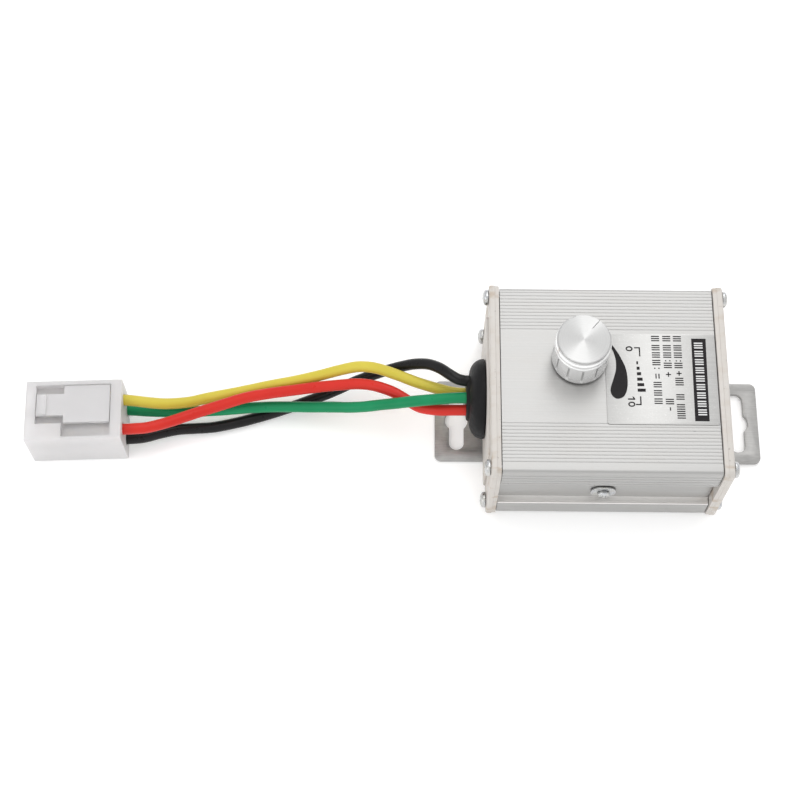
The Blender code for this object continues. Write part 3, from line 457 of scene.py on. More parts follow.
def spun_aluminium(name="knob_aluminium", spin=1.0):
    """Turned about Z: a satin face whose fine rings spread a highlight into a fan, and a side whose colour is
    painted far brighter than the face's, a painted highlight.

    The limits are shares of the object's height, and of its width from the axis. What is inside the side
    and below its upper rings is the floor of a slit, which is painted darker, a painted shade in the slit.
    """
    face_height, slit_height, slit_radius = (0.956, 0.964), (0.68, 0.70), (0.482, 0.494)
    material, tree, shader = base_material(name, 0.36, 1.0, Anisotropic=spin, Anisotropic_Rotation=0.25)
    radial = add_node(tree, "ShaderNodeTangent", direction_type="RADIAL", axis="Z")
    tree.links.new(radial.outputs["Tangent"], shader.inputs["Tangent"])
    where = add_node(tree, "ShaderNodeTexCoord").outputs["Generated"]
    centred = add_node(tree, "ShaderNodeMapping", {"Vector": where, "Location": (-0.5, -0.5, 0.0)})
    parts = add_node(tree, "ShaderNodeSeparateXYZ", {"Vector": centred.outputs["Vector"]})
    height = parts.outputs["Z"]
    flat = add_node(tree, "ShaderNodeCombineXYZ", {"X": parts.outputs["X"], "Y": parts.outputs["Y"]})
    length = add_node(tree, "ShaderNodeVectorMath", {0: flat.outputs["Vector"]}, operation="LENGTH")
    radius = length.outputs["Value"]
    section = add_node(tree, "ShaderNodeCombineXYZ", {"X": radius, "Z": height})
    rings = add_node(tree, "ShaderNodeTexNoise", {
        "Vector": section.outputs["Vector"], "Scale": 130.0, "Detail": 4.0, "Roughness": 0.7,
    }).outputs["Fac"]
    face = levels(tree, height, *face_height)
    tree.links.new(levels(tree, face, 0.0, 1.0, 0.68, 1.0), shader.inputs["Metallic"])
    share = levels(tree, rings)
    satin = tint(tree, share, (0.42, 0.42, 0.417), (0.51, 0.51, 0.507))
    # Painted highlight: the side's colour is set far brighter than the face's, standing in for light the side does
    # not catch.
    bright = tint(tree, share, (0.90, 0.90, 0.90), (0.98, 0.98, 0.98))
    # Painted shade: the floor of each slit, inside the side and below its upper rings, is painted darker.
    outside, above = levels(tree, radius, *slit_radius), levels(tree, height, *slit_height)
    bright = tint(tree, compute(tree, "MAXIMUM", outside, above), (0.55, 0.55, 0.55), bright)
    tree.links.new(tint(tree, face, bright, satin), shader.inputs["Base Color"])
    rough = levels(tree, rings, to_low=0.16, to_high=0.26)
    total = compute(tree, "ADD", rough, compute(tree, "MULTIPLY", face, 0.14))
    tree.links.new(total, shader.inputs["Roughness"])
    relief(tree, shader, rings, 0.01, 0.25)
    return material


def moulded(name, first, second, roughness, fineness, height, fixed):
    """A moulded or extruded plastic or rubber: a skin of some fineness, and a slight drift of colour."""
    material, tree, shader = base_material(name, roughness, **fixed)
    skin = grain(tree, fineness, 3.0)
    drift = grain(tree, 45.0, 3.0)
    colour = tint(tree, levels(tree, drift), first, second)
    coat(tree, shader, colour, skin, roughness * 0.85, min(1.0, roughness * 1.2))
    relief(tree, shader, skin, height, 0.4)
    return material


def label_film():
    """Brushed silver polyester with tiny flecks."""
    material, tree, shader = base_material("label_film", 0.42, 0.8)
    brush = grain(tree, (40.0, 2200.0, 400.0), 4.0)
    flecks = grain(tree, 2600.0, 2.0)
    colour = tint(tree, levels(tree, brush), (0.44, 0.437, 0.428), (0.50, 0.497, 0.488))
    colour = tint(tree, levels(tree, flecks, 0.6, 0.75, 0.0, 0.3), colour, (0.82, 0.82, 0.83))
    coat(tree, shader, colour, brush, 0.36, 0.48)
    relief(tree, shader, brush, 0.008, 0.3)
    return material


def solder_mask():
    """Green mask over copper, whose tracks show as paler, raised lines."""
    material, tree, shader = base_material("board_green", 0.35, 0.0, Coat_Weight=0.3)
    where = add_node(tree, "ShaderNodeTexCoord").outputs["Object"]
    tracks = add_node(tree, "ShaderNodeTexBrick", {
        "Vector": where, "Scale": 190.0, "Mortar Size": 0.12, "Mortar Smooth": 0.1,
    }, offset=0.37, squash=1.7).outputs["Fac"]
    weave = grain(tree, (1400.0, 1400.0, 200.0), 2.0)
    colour = tint(tree, tracks, (0.012, 0.10, 0.045), (0.03, 0.20, 0.08))
    colour = tint(tree, levels(tree, weave, 0.5, 0.8, 0.0, 0.3), colour, (0.05, 0.16, 0.09))
    coat(tree, shader, colour, weave, 0.28, 0.42)
    relief(tree, shader, tracks, 0.05, 0.6)
    return material


def make_materials():
    made = {
        "extruded_aluminium": extruded_aluminium(),
        "cast_aluminium": cast_aluminium(),
        "sheet_steel": sheet_steel(),
        "zinc_plate": zinc_plate(),
        "knob_aluminium": spun_aluminium(),
        "label_film": label_film(),
        "board_green": solder_mask(),
        "heat_bar_aluminium": spun_aluminium("heat_bar_aluminium", 0.3),
        "pot_steel": spun_aluminium("pot_steel", 0.4),
    }
    pvc, matt, brass = {"Specular_IOR_Level": 0.2}, {"Specular_IOR_Level": 0.16}, {"Metallic": 1.0}
    milky = {
        "Subsurface_Weight": 0.6, "Subsurface_Radius": (1.0, 0.97, 0.96), "Subsurface_Scale": 0.004,
        "Transmission_Weight": 0.4, "IOR": 1.53,
    }
    # Two colours, roughness, the skin's grains in a metre and its relief in millimetres, and fixed values.
    for name, *look in (
        ("terminal_brass", (0.72, 0.52, 0.20), (0.80, 0.62, 0.28), 0.25, 900.0, 0.03, brass),
        ("black_rubber", (0.004, 0.004, 0.0045), (0.010, 0.010, 0.011), 0.5, 700.0, 0.04, matt),
        ("moulded_black", (0.02, 0.02, 0.02), (0.035, 0.035, 0.035), 0.5, 1600.0, 0.03, {}),
        ("insert_plastic", (0.04, 0.04, 0.04), (0.06, 0.06, 0.06), 0.45, 1200.0, 0.03, {}),
        ("capacitor_sleeve", (0.02, 0.03, 0.09), (0.03, 0.045, 0.12), 0.25, 300.0, 0.03, {}),
        ("nylon", (0.80, 0.785, 0.79), (0.86, 0.845, 0.85), 0.38, 260.0, 0.05, milky),
        ("label_ink", (0.008, 0.007, 0.008), (0.014, 0.012, 0.013), 0.45, 1500.0, 0.004, matt),
        ("label_light", (0.62, 0.62, 0.62), (0.72, 0.72, 0.72), 0.42, 1500.0, 0.004, {}),
        ("wire_black", (0.006, 0.006, 0.006), (0.012, 0.011, 0.012), 0.30, 420.0, 0.06, pvc),
        ("wire_green", (0.004, 0.19, 0.072), (0.008, 0.25, 0.10), 0.32, 420.0, 0.06, pvc),
        ("wire_red", (0.52, 0.020, 0.014), (0.60, 0.030, 0.020), 0.32, 420.0, 0.06, pvc),
        ("wire_yellow", (0.53, 0.44, 0.05), (0.61, 0.51, 0.07), 0.32, 420.0, 0.06, pvc),
    ):
        made[name] = moulded(name, *look)
    return made


# ---- Camera, light and floor


# Worked out from the photograph. Angles are in degrees, places in metres and the lens in millimetres.
CAMERA_LENS = 74.73
CAMERA_AT = (-0.07104, -0.22202, 0.55109)
CAMERA_DOWN, CAMERA_YAW, CAMERA_ROLL = 67.316, -0.229, 0.761


def make_camera():
    """A long lens above the front, looking down at 67 degrees."""
    data = bpy.data.cameras.new("camera")
    data.lens = CAMERA_LENS
    data.sensor_width = 36.0
    data.clip_start = 0.01
    camera = bpy.data.objects.new("camera", data)
    turn = (
        Matrix.Rotation(math.radians(CAMERA_YAW), 4, "Z")
        @ Matrix.Rotation(math.radians(90 - CAMERA_DOWN), 4, "X")
        @ Matrix.Rotation(math.radians(CAMERA_ROLL), 4, "Z")
    )
    camera.matrix_world = Matrix.Translation(CAMERA_AT) @ turn
    bpy.context.scene.collection.objects.link(camera)
    bpy.context.scene.camera = camera


def area_light(name, position, target, size, power):
    """A rectangular lamp that the camera doesn't see. Places and sizes are in metres, and power in watts."""
    data = bpy.data.lights.new(name, "AREA")
    data.shape = "RECTANGLE"
    data.size, data.size_y = size
    data.energy = power
    light = bpy.data.objects.new(name, data)
    aim = (Vector(target) - Vector(position)).to_track_quat("-Z", "Y").to_matrix().to_4x4()
    light.matrix_world = Matrix.Translation(position) @ aim
    light.visible_camera = False
    bpy.context.scene.collection.objects.link(light)


def make_light():
    """A long soft box high behind, a weaker one at the front left, a low strip in front, and a pale room."""
    area_light("key", (0.17, 0.78, 1.25), (-0.03, 0, 0), (0.55, 1.9), 6.6)
    area_light("fill", (-0.9, -0.7, 0.9), (-0.03, 0, 0), (0.9, 0.9), 3.3)
    area_light("front", (0.0, -1.3, 0.42), (-0.03, 0, 0.02), (1.6, 0.5), 0.85)
    world = bpy.data.worlds.new("room")
    world.use_nodes = True
    tree = world.node_tree
    where = add_node(tree, "ShaderNodeTexCoord").outputs["Generated"]
    height = add_node(tree, "ShaderNodeSeparateXYZ", {"Vector": where}).outputs["Z"]
    shade = tint(tree, levels(tree, height, -0.1, 0.9), (0.86, 0.86, 0.86), (1.02, 1.02, 1.02))
    tree.links.new(shade, tree.nodes["Background"].inputs["Color"])
    tree.nodes["Background"].inputs["Strength"].default_value = 1.0
    bpy.context.scene.world = world
    bpy.context.scene.view_settings.view_transform = "Standard"


FLOOR_HALF = 4000
FLOOR_GAP = 0.3  # keeps the floor clear of the case's underside


def make_floor():
    """A plain pale floor, open from below so that the underside can be looked at."""
    material, tree, shader = base_material("floor", 0.85)
    wide = grain(tree, 3.0, 2.0)
    tree.links.new(tint(tree, wide, (0.93, 0.93, 0.93), (0.95, 0.95, 0.95)), shader.inputs["Base Color"])
    shader.inputs["Emission Color"].default_value = (1.0, 1.0, 1.0, 1.0)
    shader.inputs["Emission Strength"].default_value = 0.18
    clear = add_node(tree, "ShaderNodeBsdfTransparent").outputs["BSDF"]
    back = add_node(tree, "ShaderNodeNewGeometry").outputs["Backfacing"]
    mix = add_node(tree, "ShaderNodeMixShader", {0: back, 1: shader.outputs["BSDF"], 2: clear})
    tree.links.new(mix.outputs["Shader"], tree.nodes["Material Output"].inputs["Surface"])
    bm = bmesh.new()
    bmesh.ops.create_grid(bm, x_segments=8, y_segments=8, size=FLOOR_HALF)
    floor = add_mesh("floor", bm, material)
    floor.location.z = -FLOOR_GAP * MM
    if floor.data.polygons[0].normal.z < 0:
        floor.data.flip_normals()


# ---- The cable


WIRE_STEPS = 120
UNEVEN, WAVES = 0.02, 0.22  # the share by which insulation swells, and how often in a millimetre


def tube(line, radius, sides=28):
    """A skin round a line, with insulation that is a little uneven."""
    count = len(line)
    rings = []
    side = Vector((0, 0, 1))
    for i, point in enumerate(line):
        ahead = (line[min(i + 1, count - 1)] - line[max(i - 1, 0)]).normalized()
        side = (side - ahead * side.dot(ahead)).normalized()
        across = ahead.cross(side)
        swell = radius * (1 + UNEVEN * noise.noise(point * WAVES))
        turned = [math.tau * k / sides for k in range(sides)]
        rings.append([point + (side * math.cos(a) + across * math.sin(a)) * swell for a in turned])
    return loft(rings)


def along(first, second, distance):
    """The point that far beyond first, on the line from second."""
    return first + (first - second).normalized() * distance


def make_wires(materials):
    """The four free wires, each from its hole in the grommet to its tunnel in the connector."""
    for colour, route in ROUTES.items():
        points = [Vector(point) / MM for point in route]
        line = smooth_line(points, WIRE_STEPS)
        inlet = line[0] + Vector((WIRE_IN_GROMMET, 0, 0))
        line = [inlet, *line, along(line[-1], line[-2], WIRE_IN_TUNNEL)]
        wire = add_mesh(f"free_wire_{colour}", tube(line, WIRE_R), materials[f"wire_{colour}"], 60)
        show(wire, CASE, f"wire_{colour}")


# ---- The case


# The skin's ribs. The top ones start at a distance from the middle, and the side ones are heights.
FIRST_BACK_RIB, FIRST_FRONT_RIB = 18.3, 16.1
TOP_RIBS, TOP_RIB_PITCH = 12, 1.25
TOP_RIB_DEEP, TOP_RIB_HALF, TOP_RIB_CROWN = 0.08, 0.13, 0.035
SIDE_RIBS = (29.9, 32.2, 34.5, 36.8)
SIDE_RIB_DEEP, SIDE_RIB_HALF, SIDE_RIB_CROWN = 0.4, 0.32, 0.07
# The extrusion's section: distances along Y are from the middle, and along Z from the floor.
SKIN_CORNER, BASE_CORNER = 1.5, 1.0
WALL, ROOF, FLOOR = 2.0, 2.2, 2.5
CHANNEL_LOW, CHANNEL_HIGH, CHANNEL_DEEP = 10.1, 28.4, 2.8
RECESS_HALF, RECESS_TOP = 15.55, 1.8
BOSS_INNER, LOW_BOSS_TOP, HIGH_BOSS_BOTTOM = 28.6, 8.1, 34.7
BOARD_GROOVE_LOW, BOARD_GROOVE_HIGH, BOARD_GROOVE_DEEP = 10.0, 12.2, 1.0
SCREW_HOLE_R, KNOB_HOLE_R, GROMMET_HOLE_R = 1.6, 3.8, 8.0
# Where the screws go in: Y and Z of the end plates' eight, and the nodes of the two from below.
END_SCREWS = [(y, z) for y in (31.2, -31.2) for z in (5.5, 37.4)]
PLATE_SCREWS = ("plate_screw_1", "plate_screw_2")


def ribs(start, direction, inward, valleys, deep, half, crown):
    """Points along a straight face with a valley at each distance, and slightly crowned lands between."""
    start, direction, inward = Vector(start), Vector(direction), Vector(inward)
    section = ((-half, 0.0), (-0.45 * half, 0.75), (0.0, 1.0), (0.45 * half, 0.75), (half, 0.0))
    points = []
    for i, valley in enumerate(valleys):
        for offset, depth in section:
            points.append(start + direction * (valley + offset) + inward * depth * deep)
        if i + 1 < len(valleys):
            reach = valleys[i + 1] - valley - 2 * half
            for share in (0.2, 0.5, 0.8):
                rise = crown * (1 - (2 * share - 1) ** 2)
                points.append(start + direction * (valley + half + reach * share) - inward * rise)
    return [tuple(point) for point in points]


def skin_half(side, top, low, first_rib):
    """One half of the extrusion's outside, from the recess in its base up to its middle top, at +Y."""
    floor, ledge = side - CHANNEL_DEEP, CHANNEL_LOW
    line = side - 0.74  # a fine die line along the ledge
    points = [(RECESS_HALF, RECESS_TOP), (RECESS_HALF, low), (side - BASE_CORNER, low)]
    points += arc(side - BASE_CORNER, low + BASE_CORNER, BASE_CORNER, -70, 0, 4)
    points += [(side, ledge - 0.5), (side - 0.08, ledge - 0.2), (side - 0.3, ledge)]
    points += [(line + 0.12, ledge), (line, ledge - 0.16), (line - 0.12, ledge)]
    points += [(floor + 0.25, ledge), (floor + 0.06, ledge + 0.06), (floor, ledge + 0.25)]
    points += [(floor, CHANNEL_HIGH - 0.3), (floor + 0.3, CHANNEL_HIGH)]
    points += [(side - 0.25, CHANNEL_HIGH), (side, CHANNEL_HIGH + 0.25)]
    points += ribs((side, 0), (0, 1), (-1, 0), SIDE_RIBS, SIDE_RIB_DEEP, SIDE_RIB_HALF, SIDE_RIB_CROWN)
    points += arc(side - SKIN_CORNER, top - SKIN_CORNER, SKIN_CORNER, 0, 90, 8)
    valleys = [TOP_RIB_PITCH * i for i in range(TOP_RIBS)]
    start = (first_rib + valleys[-1], top)
    points += ribs(start, (-1, 0), (0, -1), valleys, TOP_RIB_DEEP, TOP_RIB_HALF, TOP_RIB_CROWN)
    return points


def make_housing(materials):
    """The extrusion: its skin, its holes, and a cavity with four screw bosses and grooves for the board."""
    low, high = span("housing")
    side = high.y
    front = skin_half(side, high.z, low.z, FIRST_FRONT_RIB)
    back = skin_half(side, high.z, low.z, FIRST_BACK_RIB)
    outline = [(y, z) for y, z in back] + [(-y, z) for y, z in reversed(front)]
    housing = add_mesh("extrusion", prism(outline, low.x, high.x, "X"), materials["extruded_aluminium"], 20)
    wall, neck = side - WALL, side - WALL - CHANNEL_DEEP
    floor, roof, shelf = RECESS_TOP + FLOOR, high.z - ROOF, CHANNEL_HIGH + WALL
    groove = neck + BOARD_GROOVE_DEEP
    inside = [
        (BOSS_INNER, floor), (BOSS_INNER, LOW_BOSS_TOP), (neck, LOW_BOSS_TOP),
        (neck, BOARD_GROOVE_LOW), (groove, BOARD_GROOVE_LOW), (groove, BOARD_GROOVE_HIGH),
        (neck, BOARD_GROOVE_HIGH), (neck, shelf), (wall, shelf),
        (wall, HIGH_BOSS_BOTTOM), (BOSS_INNER, HIGH_BOSS_BOTTOM), (BOSS_INNER, roof),
    ]
    cavity = inside + [(-y, z) for y, z in reversed(inside)]
    cut(housing, prism(cavity, low.x - 2, high.x + 2, "X"))
    knob = Vector(JOINTS["knob_turn"]["pos_m"]) / MM
    cut(housing, cylinder(KNOB_HOLE_R, high.z - 5, high.z + 3), (knob.x, knob.y, 0))
    screw = middle("side_screw")
    cut(housing, cylinder(SCREW_HOLE_R, 0, 12, 24), (screw.x, -side - 2, screw.z), (0, 1, 0))
    for node in PLATE_SCREWS:
        where = middle(node)
        cut(housing, cylinder(SCREW_HOLE_R, 0, 8, 24), (where.x, where.y, 0))
    for y, z in END_SCREWS:
        cut(housing, cylinder(SCREW_HOLE_R, low.x - 2, high.x + 2, 20), (0, y, z), (1, 0, 0))
    show(resmooth(housing, 20), CASE, "housing")


END_CORNER = 2.4
PAD_HALF, PAD_LOW, PAD_HIGH, PAD_CORNER, PAD_PROUD = 25.5, 2.4, 35.5, 2.0, 0.8


def stepped(side, steps, y0, z0, y1, z1, corner, corner_steps):
    """A lump built along X on one side, from a rounded rectangle set in by some amount at each step."""
    rings = []
    for x, inset in steps:
        outline = rounded(y0 + inset, z0 + inset, y1 - inset, z1 - inset, corner - inset, corner_steps)
        rings.append([(side * x, y, z) for y, z in outline])
    return loft(rings)


def end_casting(name, node, materials):
    """A cast end plate: an outer band, a lower inner lip, and a raised pad on its outer face."""
    low, high = span(node)
    side = 1 if high.x > 0 else -1
    proud = max(abs(low.x), abs(high.x))
    face, inner = proud - PAD_PROUD, min(abs(low.x), abs(high.x))
    steps = [
        (face, 0.55), (face - 0.12, 0.28), (face - 0.35, 0.06), (face - 0.7, 0.0), (face - 1.9, 0.0),
        (face - 2.05, 0.16), (face - 2.3, 0.22), (inner + 0.3, 0.24), (inner + 0.08, 0.3), (inner, 0.42),
    ]
    pad_steps = [(face - 1, 0), (proud - 0.3, 0), (proud - 0.08, 0.12), (proud, 0.35)]
    band = stepped(side, steps, low.y, low.z, high.y, high.z, END_CORNER, 10)
    plate = add_mesh(name, band, materials["cast_aluminium"])
    fuse(plate, stepped(side, pad_steps, -PAD_HALF, PAD_LOW, PAD_HALF, PAD_HIGH, PAD_CORNER, 6))
    cut(plate, block((-60, -RECESS_HALF, -2), (60, RECESS_HALF, RECESS_TOP)))
    for y, z in END_SCREWS:
        cut(plate, cylinder(SCREW_HOLE_R, -6, 6, 24), (side * face, y, z), (1, 0, 0))
    if node == "cable_end_plate":
        hole = middle("grommet")
        cut(plate, cylinder(GROMMET_HOLE_R, -9, 9, 64), (side * face, hole.y, hole.z), (1, 0, 0))
    show(resmooth(plate, 30), CASE, node)


def slot_outline(cx, width=5.2, length=22.3, eye=4.0):
    """A long slot along Y with a round eye at its middle, as one outline."""
    half, end = width / 2, length / 2 - width / 2
    lean = math.degrees(math.acos(half / eye))
    return (
        arc(cx, 0, eye, -lean, lean, 12)
        + arc(cx, end, half, 0, 180, 16)
        + arc(cx, 0, eye, 180 - lean, 180 + lean, 12)
        + arc(cx, -end, half, 180, 360, 16)
    )


PLATE_CORNER, PLATE_EDGE = 2.2, 0.18
SINK_R, SINK_HOLE_R = 3.1, 1.7


def make_mounting_plate(materials):
    """The eared plate, with a keyhole slot at each ear's mount and a countersink for each sunk screw."""
    low, high = span("mounting_plate")
    outlines = [rounded(low.x, low.y, high.x, high.y, PLATE_CORNER, 10)]
    seats = [mount["pos_m"][0] / MM for mount in frame["record"]["mounts"] if "ear" in mount["name"]]
    outlines += [slot_outline(x) for x in seats]
    plate = sheet_with_holes("eared_plate", outlines, low.z, high.z, PLATE_EDGE, materials["sheet_steel"])
    sink = [(0, -1), (SINK_R, -1), (SINK_R, 0.35), (SINK_HOLE_R, 1.6), (SINK_HOLE_R, 4), (0, 4)]
    for node in PLATE_SCREWS:
        where = middle(node)
        cut(plate, lathe(sink, 40), (where.x, where.y, 0))
    show(resmooth(plate, 30), CASE, "mounting_plate")


# ---- Screws, label and grommet


def cross_recess(depth=1.25, reach=1.5, wide=0.42):
    """One wing of a Phillips recess, tapering downwards from zero."""
    rings = []
    for z, share in ((0.6, 1.0), (0.0, 1.0), (-0.5 * depth, 0.62), (-depth, 0.22)):
        long, broad = reach * share, wide * (0.55 + 0.45 * share)
        rings.append([(-long, -broad, z), (long, -broad, z), (long, broad, z), (-long, broad, z)])
    return rings


THREAD_R, THREAD_CORE_R, THREAD_PITCH = 1.5, 1.3, 0.8
END_HEAD_R, END_HEAD_HIGH, END_SHANK = 2.75, 1.95, 11.0
SIDE_HEAD_R, SIDE_HEAD_HIGH, SIDE_SHANK = 2.1, 1.5, 8.0


def pan_screw(name, head, high, shank, material):
    """A domed pan head with its underside at zero, and a threaded shank below."""
    edge = 0.38 * high
    turned = [math.radians(v) for v in range(12, 90, 13)]
    dome = [(head * math.cos(a), edge + (high - edge) * math.sin(a)) for a in turned]
    thread = []
    for i in range(int((shank - 1.0) / THREAD_PITCH)):
        z = -0.6 - THREAD_PITCH * i
        thread += [(THREAD_CORE_R, z), (THREAD_R, z - 0.25), (THREAD_CORE_R, z - 0.5)]
    profile = [(0, -shank), (0.9, -shank), *reversed(thread), (THREAD_CORE_R, 0), (head - 0.15, 0)]
    profile += [(head, 0.15), (head, edge), *dome, (0, high)]
    screw = add_mesh(name, lathe(profile, 40), material, 30)
    for turn in (0, math.pi / 2):
        cut(screw, loft(cross_recess(0.64 * high, 0.55 * head, 0.15 * head)), (0, 0, high), turn=turn)
    return resmooth(screw, 30)


def make_end_screws(zinc):
    """Four pan heads at either end, each turned differently."""
    first = None
    for label, side in (("cable_end", -1), ("blank_end", 1)):
        for number in range(1, 5):
            node = f"{label}_screw_{number}"
            low, high = span(node)
            name = f"pan_head_{label}_{number}"
            under = abs(high.x if side > 0 else low.x) - END_HEAD_HIGH
            first = first or pan_screw(name, END_HEAD_R, END_HEAD_HIGH, END_SHANK, zinc)
            screw = first if first.name == name else twin(name, first)
            where = middle(node)
            place(screw, (side * under, where.y, where.z), (side, 0, 0), math.radians(20 + 31 * number))
            show(screw, CASE, node)


def make_side_screw(zinc):
    """The screw in the front channel, and the flat washer under it."""
    low, high = span("side_screw")
    where = middle("side_screw")
    screw = pan_screw("pan_head_side", SIDE_HEAD_R, SIDE_HEAD_HIGH, SIDE_SHANK, zinc)
    place(screw, (where.x, low.y + SIDE_HEAD_HIGH, where.z), (0, -1, 0), math.radians(12))
    show(screw, CASE, "side_screw")
    low, high = span("side_washer")
    bore, rim, thick = 1.8, 4.4, 0.7
    section = [
        (bore, 0.08), (bore + 0.08, 0), (rim - 0.12, 0), (rim, 0.12),
        (rim, thick - 0.15), (rim - 0.14, thick), (bore + 0.1, thick), (bore, thick - 0.08),
    ]
    washer = add_mesh("flat_washer_side", lathe(section, 64, ring=True), zinc, 30)
    where = middle("side_washer")
    show(place(washer, (where.x, high.y, where.z), (0, -1, 0)), CASE, "side_washer")


def make_plate_screws(zinc):
    """Two countersunk screws, whose heads face down in the mounting plate."""
    head, under = 2.75, 0.1
    profile = [(0, under), (head - 0.15, under), (head, under + 0.12), (head, under + 0.22)]
    profile += [(THREAD_CORE_R, 1.6), (THREAD_CORE_R, 6.0), (0.9, 6.6), (0, 6.6)]
    sunk = add_mesh("sunk_screw_1", lathe(profile, 40), zinc, 30)
    for turn in (0, math.pi / 2):
        cut(sunk, loft(cross_recess(1.1)), (0, 0, under), (0, 0, -1), turn)
    resmooth(sunk, 30)
    for number, (node, turn) in enumerate(zip(PLATE_SCREWS, (25, 70)), 1):
        screw = sunk if number == 1 else twin(f"sunk_screw_{number}", sunk)
        where = middle(node)
        show(place(screw, (where.x, where.y, 0), turn=math.radians(turn)), CASE, node)


GROMMET_FACE = 41.1  # how far along -X the flange's flat back is, just clear of the end casting's pad
GROMMET_LIP, GROMMET_LIP_R, GROMMET_NECK_R = 1.6, 10.5, 7.7
DOME_R, DOME_HIGH = 13.9, 5.2
NOZZLE_R = 7.7
WIRE_SLACK, WIRE_HOLE_DEEP = 0.12, 2.8


def make_grommet(materials):
    """A lip inside the case, a neck, a domed flange and a short nozzle, with a hole for each wire."""
    low, high = span("grommet")
    where = middle("grommet")
    tip, inner, face = -low.x, -high.x + GROMMET_LIP, GROMMET_FACE
    back = inner - GROMMET_LIP
    profile = [
        (0, back), (GROMMET_LIP_R - 0.4, back), (GROMMET_LIP_R, back + 0.4), (GROMMET_LIP_R, inner - 0.1),
        (GROMMET_LIP_R - 0.1, inner), (GROMMET_NECK_R, inner), (GROMMET_NECK_R, face),
        (DOME_R - 0.15, face), (DOME_R, face + 0.15),
    ]
    shoulder = NOZZLE_R + 0.5
    for angle in range(0, 89, 8):
        a = math.radians(angle)
        radius = shoulder + (DOME_R - shoulder) * math.cos(a)
        profile.append((radius, face + 0.4 + (DOME_HIGH - 0.4) * math.sin(a)))
    profile += [
        (NOZZLE_R + 0.12, face + DOME_HIGH + 0.05), (NOZZLE_R, tip - 0.7), (NOZZLE_R - 0.15, tip - 0.3),
        (NOZZLE_R - 0.6, tip), (0, tip),
    ]
    grommet = add_mesh("rubber_grommet", lathe(profile, 96), materials["black_rubber"], 35)
    place(grommet, (0, where.y, where.z), (-1, 0, 0))
    for route in ROUTES.values():
        entry = Vector(route[0]) / MM
        hole = cylinder(WIRE_R + WIRE_SLACK, -WIRE_HOLE_DEEP, 4, 32)
        cut(grommet, hole, (-tip, entry.y, entry.z), (-1, 0, 0))
    show(resmooth(grommet, 35), CASE, "grommet")


def print_mesh(name, shapes, low, high, material):
    """Flat printed shapes joined into one mesh. Each shape is an outline in reading axes: u across, v up."""
    bm = bmesh.new()
    for outline in shapes:
        bottom = [bm.verts.new((v, -u, low)) for u, v in outline]
        top = [bm.verts.new((v, -u, high)) for u, v in outline]
        bm.faces.new(bottom)
        bm.faces.new(top)
        for i in range(len(outline)):
            after = (i + 1) % len(outline)
            bm.faces.new((bottom[i], bottom[after], top[after], top[i]))
    return add_mesh(name, bm, material, 30)


def bar(u, v, wide, high):
    return [(u, v), (u + wide, v), (u + wide, v + high), (u, v + high)]


def strokes(u, v, length, high, pitch=0.8, thick=0.42):
    """A run of upright strokes."""
    return [bar(u + i * pitch, v, thick, high) for i in range(int(length / pitch + 0.01))]


def digit_one(u, v):
    flag_low, flag = v + DIGIT_HIGH - 0.95, u - 0.65
    top = v + DIGIT_HIGH
    return [bar(u, v, 0.5, DIGIT_HIGH), [(u, top), (u, top - 0.55), (flag, flag_low), (flag, top - 0.5)]]


def digit_zero(u, v, sides=24):
    """An upright oval ring, as a run of four-sided pieces."""
    half = DIGIT_HIGH / 2
    turned = [math.tau * i / sides for i in range(sides + 1)]
    outer = [(u + 0.9 + 0.95 * math.cos(a), v + half + half * math.sin(a)) for a in turned]
    inner = [(u + 0.9 + 0.47 * math.cos(a), v + half + (half - 0.48) * math.sin(a)) for a in turned]
    return [[outer[i], outer[i + 1], inner[i + 1], inner[i]] for i in range(sides)]


ROW_HIGH, DIGIT_HIGH, DIGIT_LOW, LINE = 2.75, 2.4, 5.9, 0.45
# The label's three hatched rows: the height of each, then the start and length of each of its words.
HATCHED_ROWS = (
    (22.1, ((-16.0, 3.1), (-12.6, 2.4), (-9.9, 2.4), (-6.1, 2.4), (-0.6, 3.2), (5.4, 3.1), (9.0, 5.6))),
    (18.5, ((-16.0, 3.1), (-12.6, 2.4), (-9.9, 2.4), (-6.1, 2.4), (7.1, 2.4))),
    (14.7, ((-16.0, 3.1), (-12.6, 2.4), (-9.9, 2.4), (-7.1, 2.4), (1.0, 2.4), (4.0, 2.4), (7.0, 3.1))),
)
DOTS = ((-7.0, 22.6), (-7.0, 24.0), (-7.0, 19.0), (-7.0, 20.4), (-4.2, 15.2), (-4.2, 16.6))
DASHES = ((10.2, 19.7, 1.2), (-2.0, 15.5, 1.8), (-2.0, 16.5, 1.8))
WEDGE = (
    (-12.4, 1.4, 0), (-10.6, 2.6, 0), (-8.5, 3.8, 0), (-4.1, 5.6, 0), (-0.2, 6.1, 0), (3.8, 5.8, 0),
    (6.4, 4.6, 0), (7.3, 2.5, 0), (6.4, 0.9, 0), (4.6, 0.2, 0), (2.6, 0.5, 0), (-0.4, 1.5, 0),
    (-3.4, 2.3, 0), (-6.4, 2.4, 0), (-9.2, 1.9, 0), (-11.4, 1.1, 0),
)
BAND = [(-15.1, 28.3), (15.1, 27.9), (15.1, 32.7), (-15.1, 33.2)]


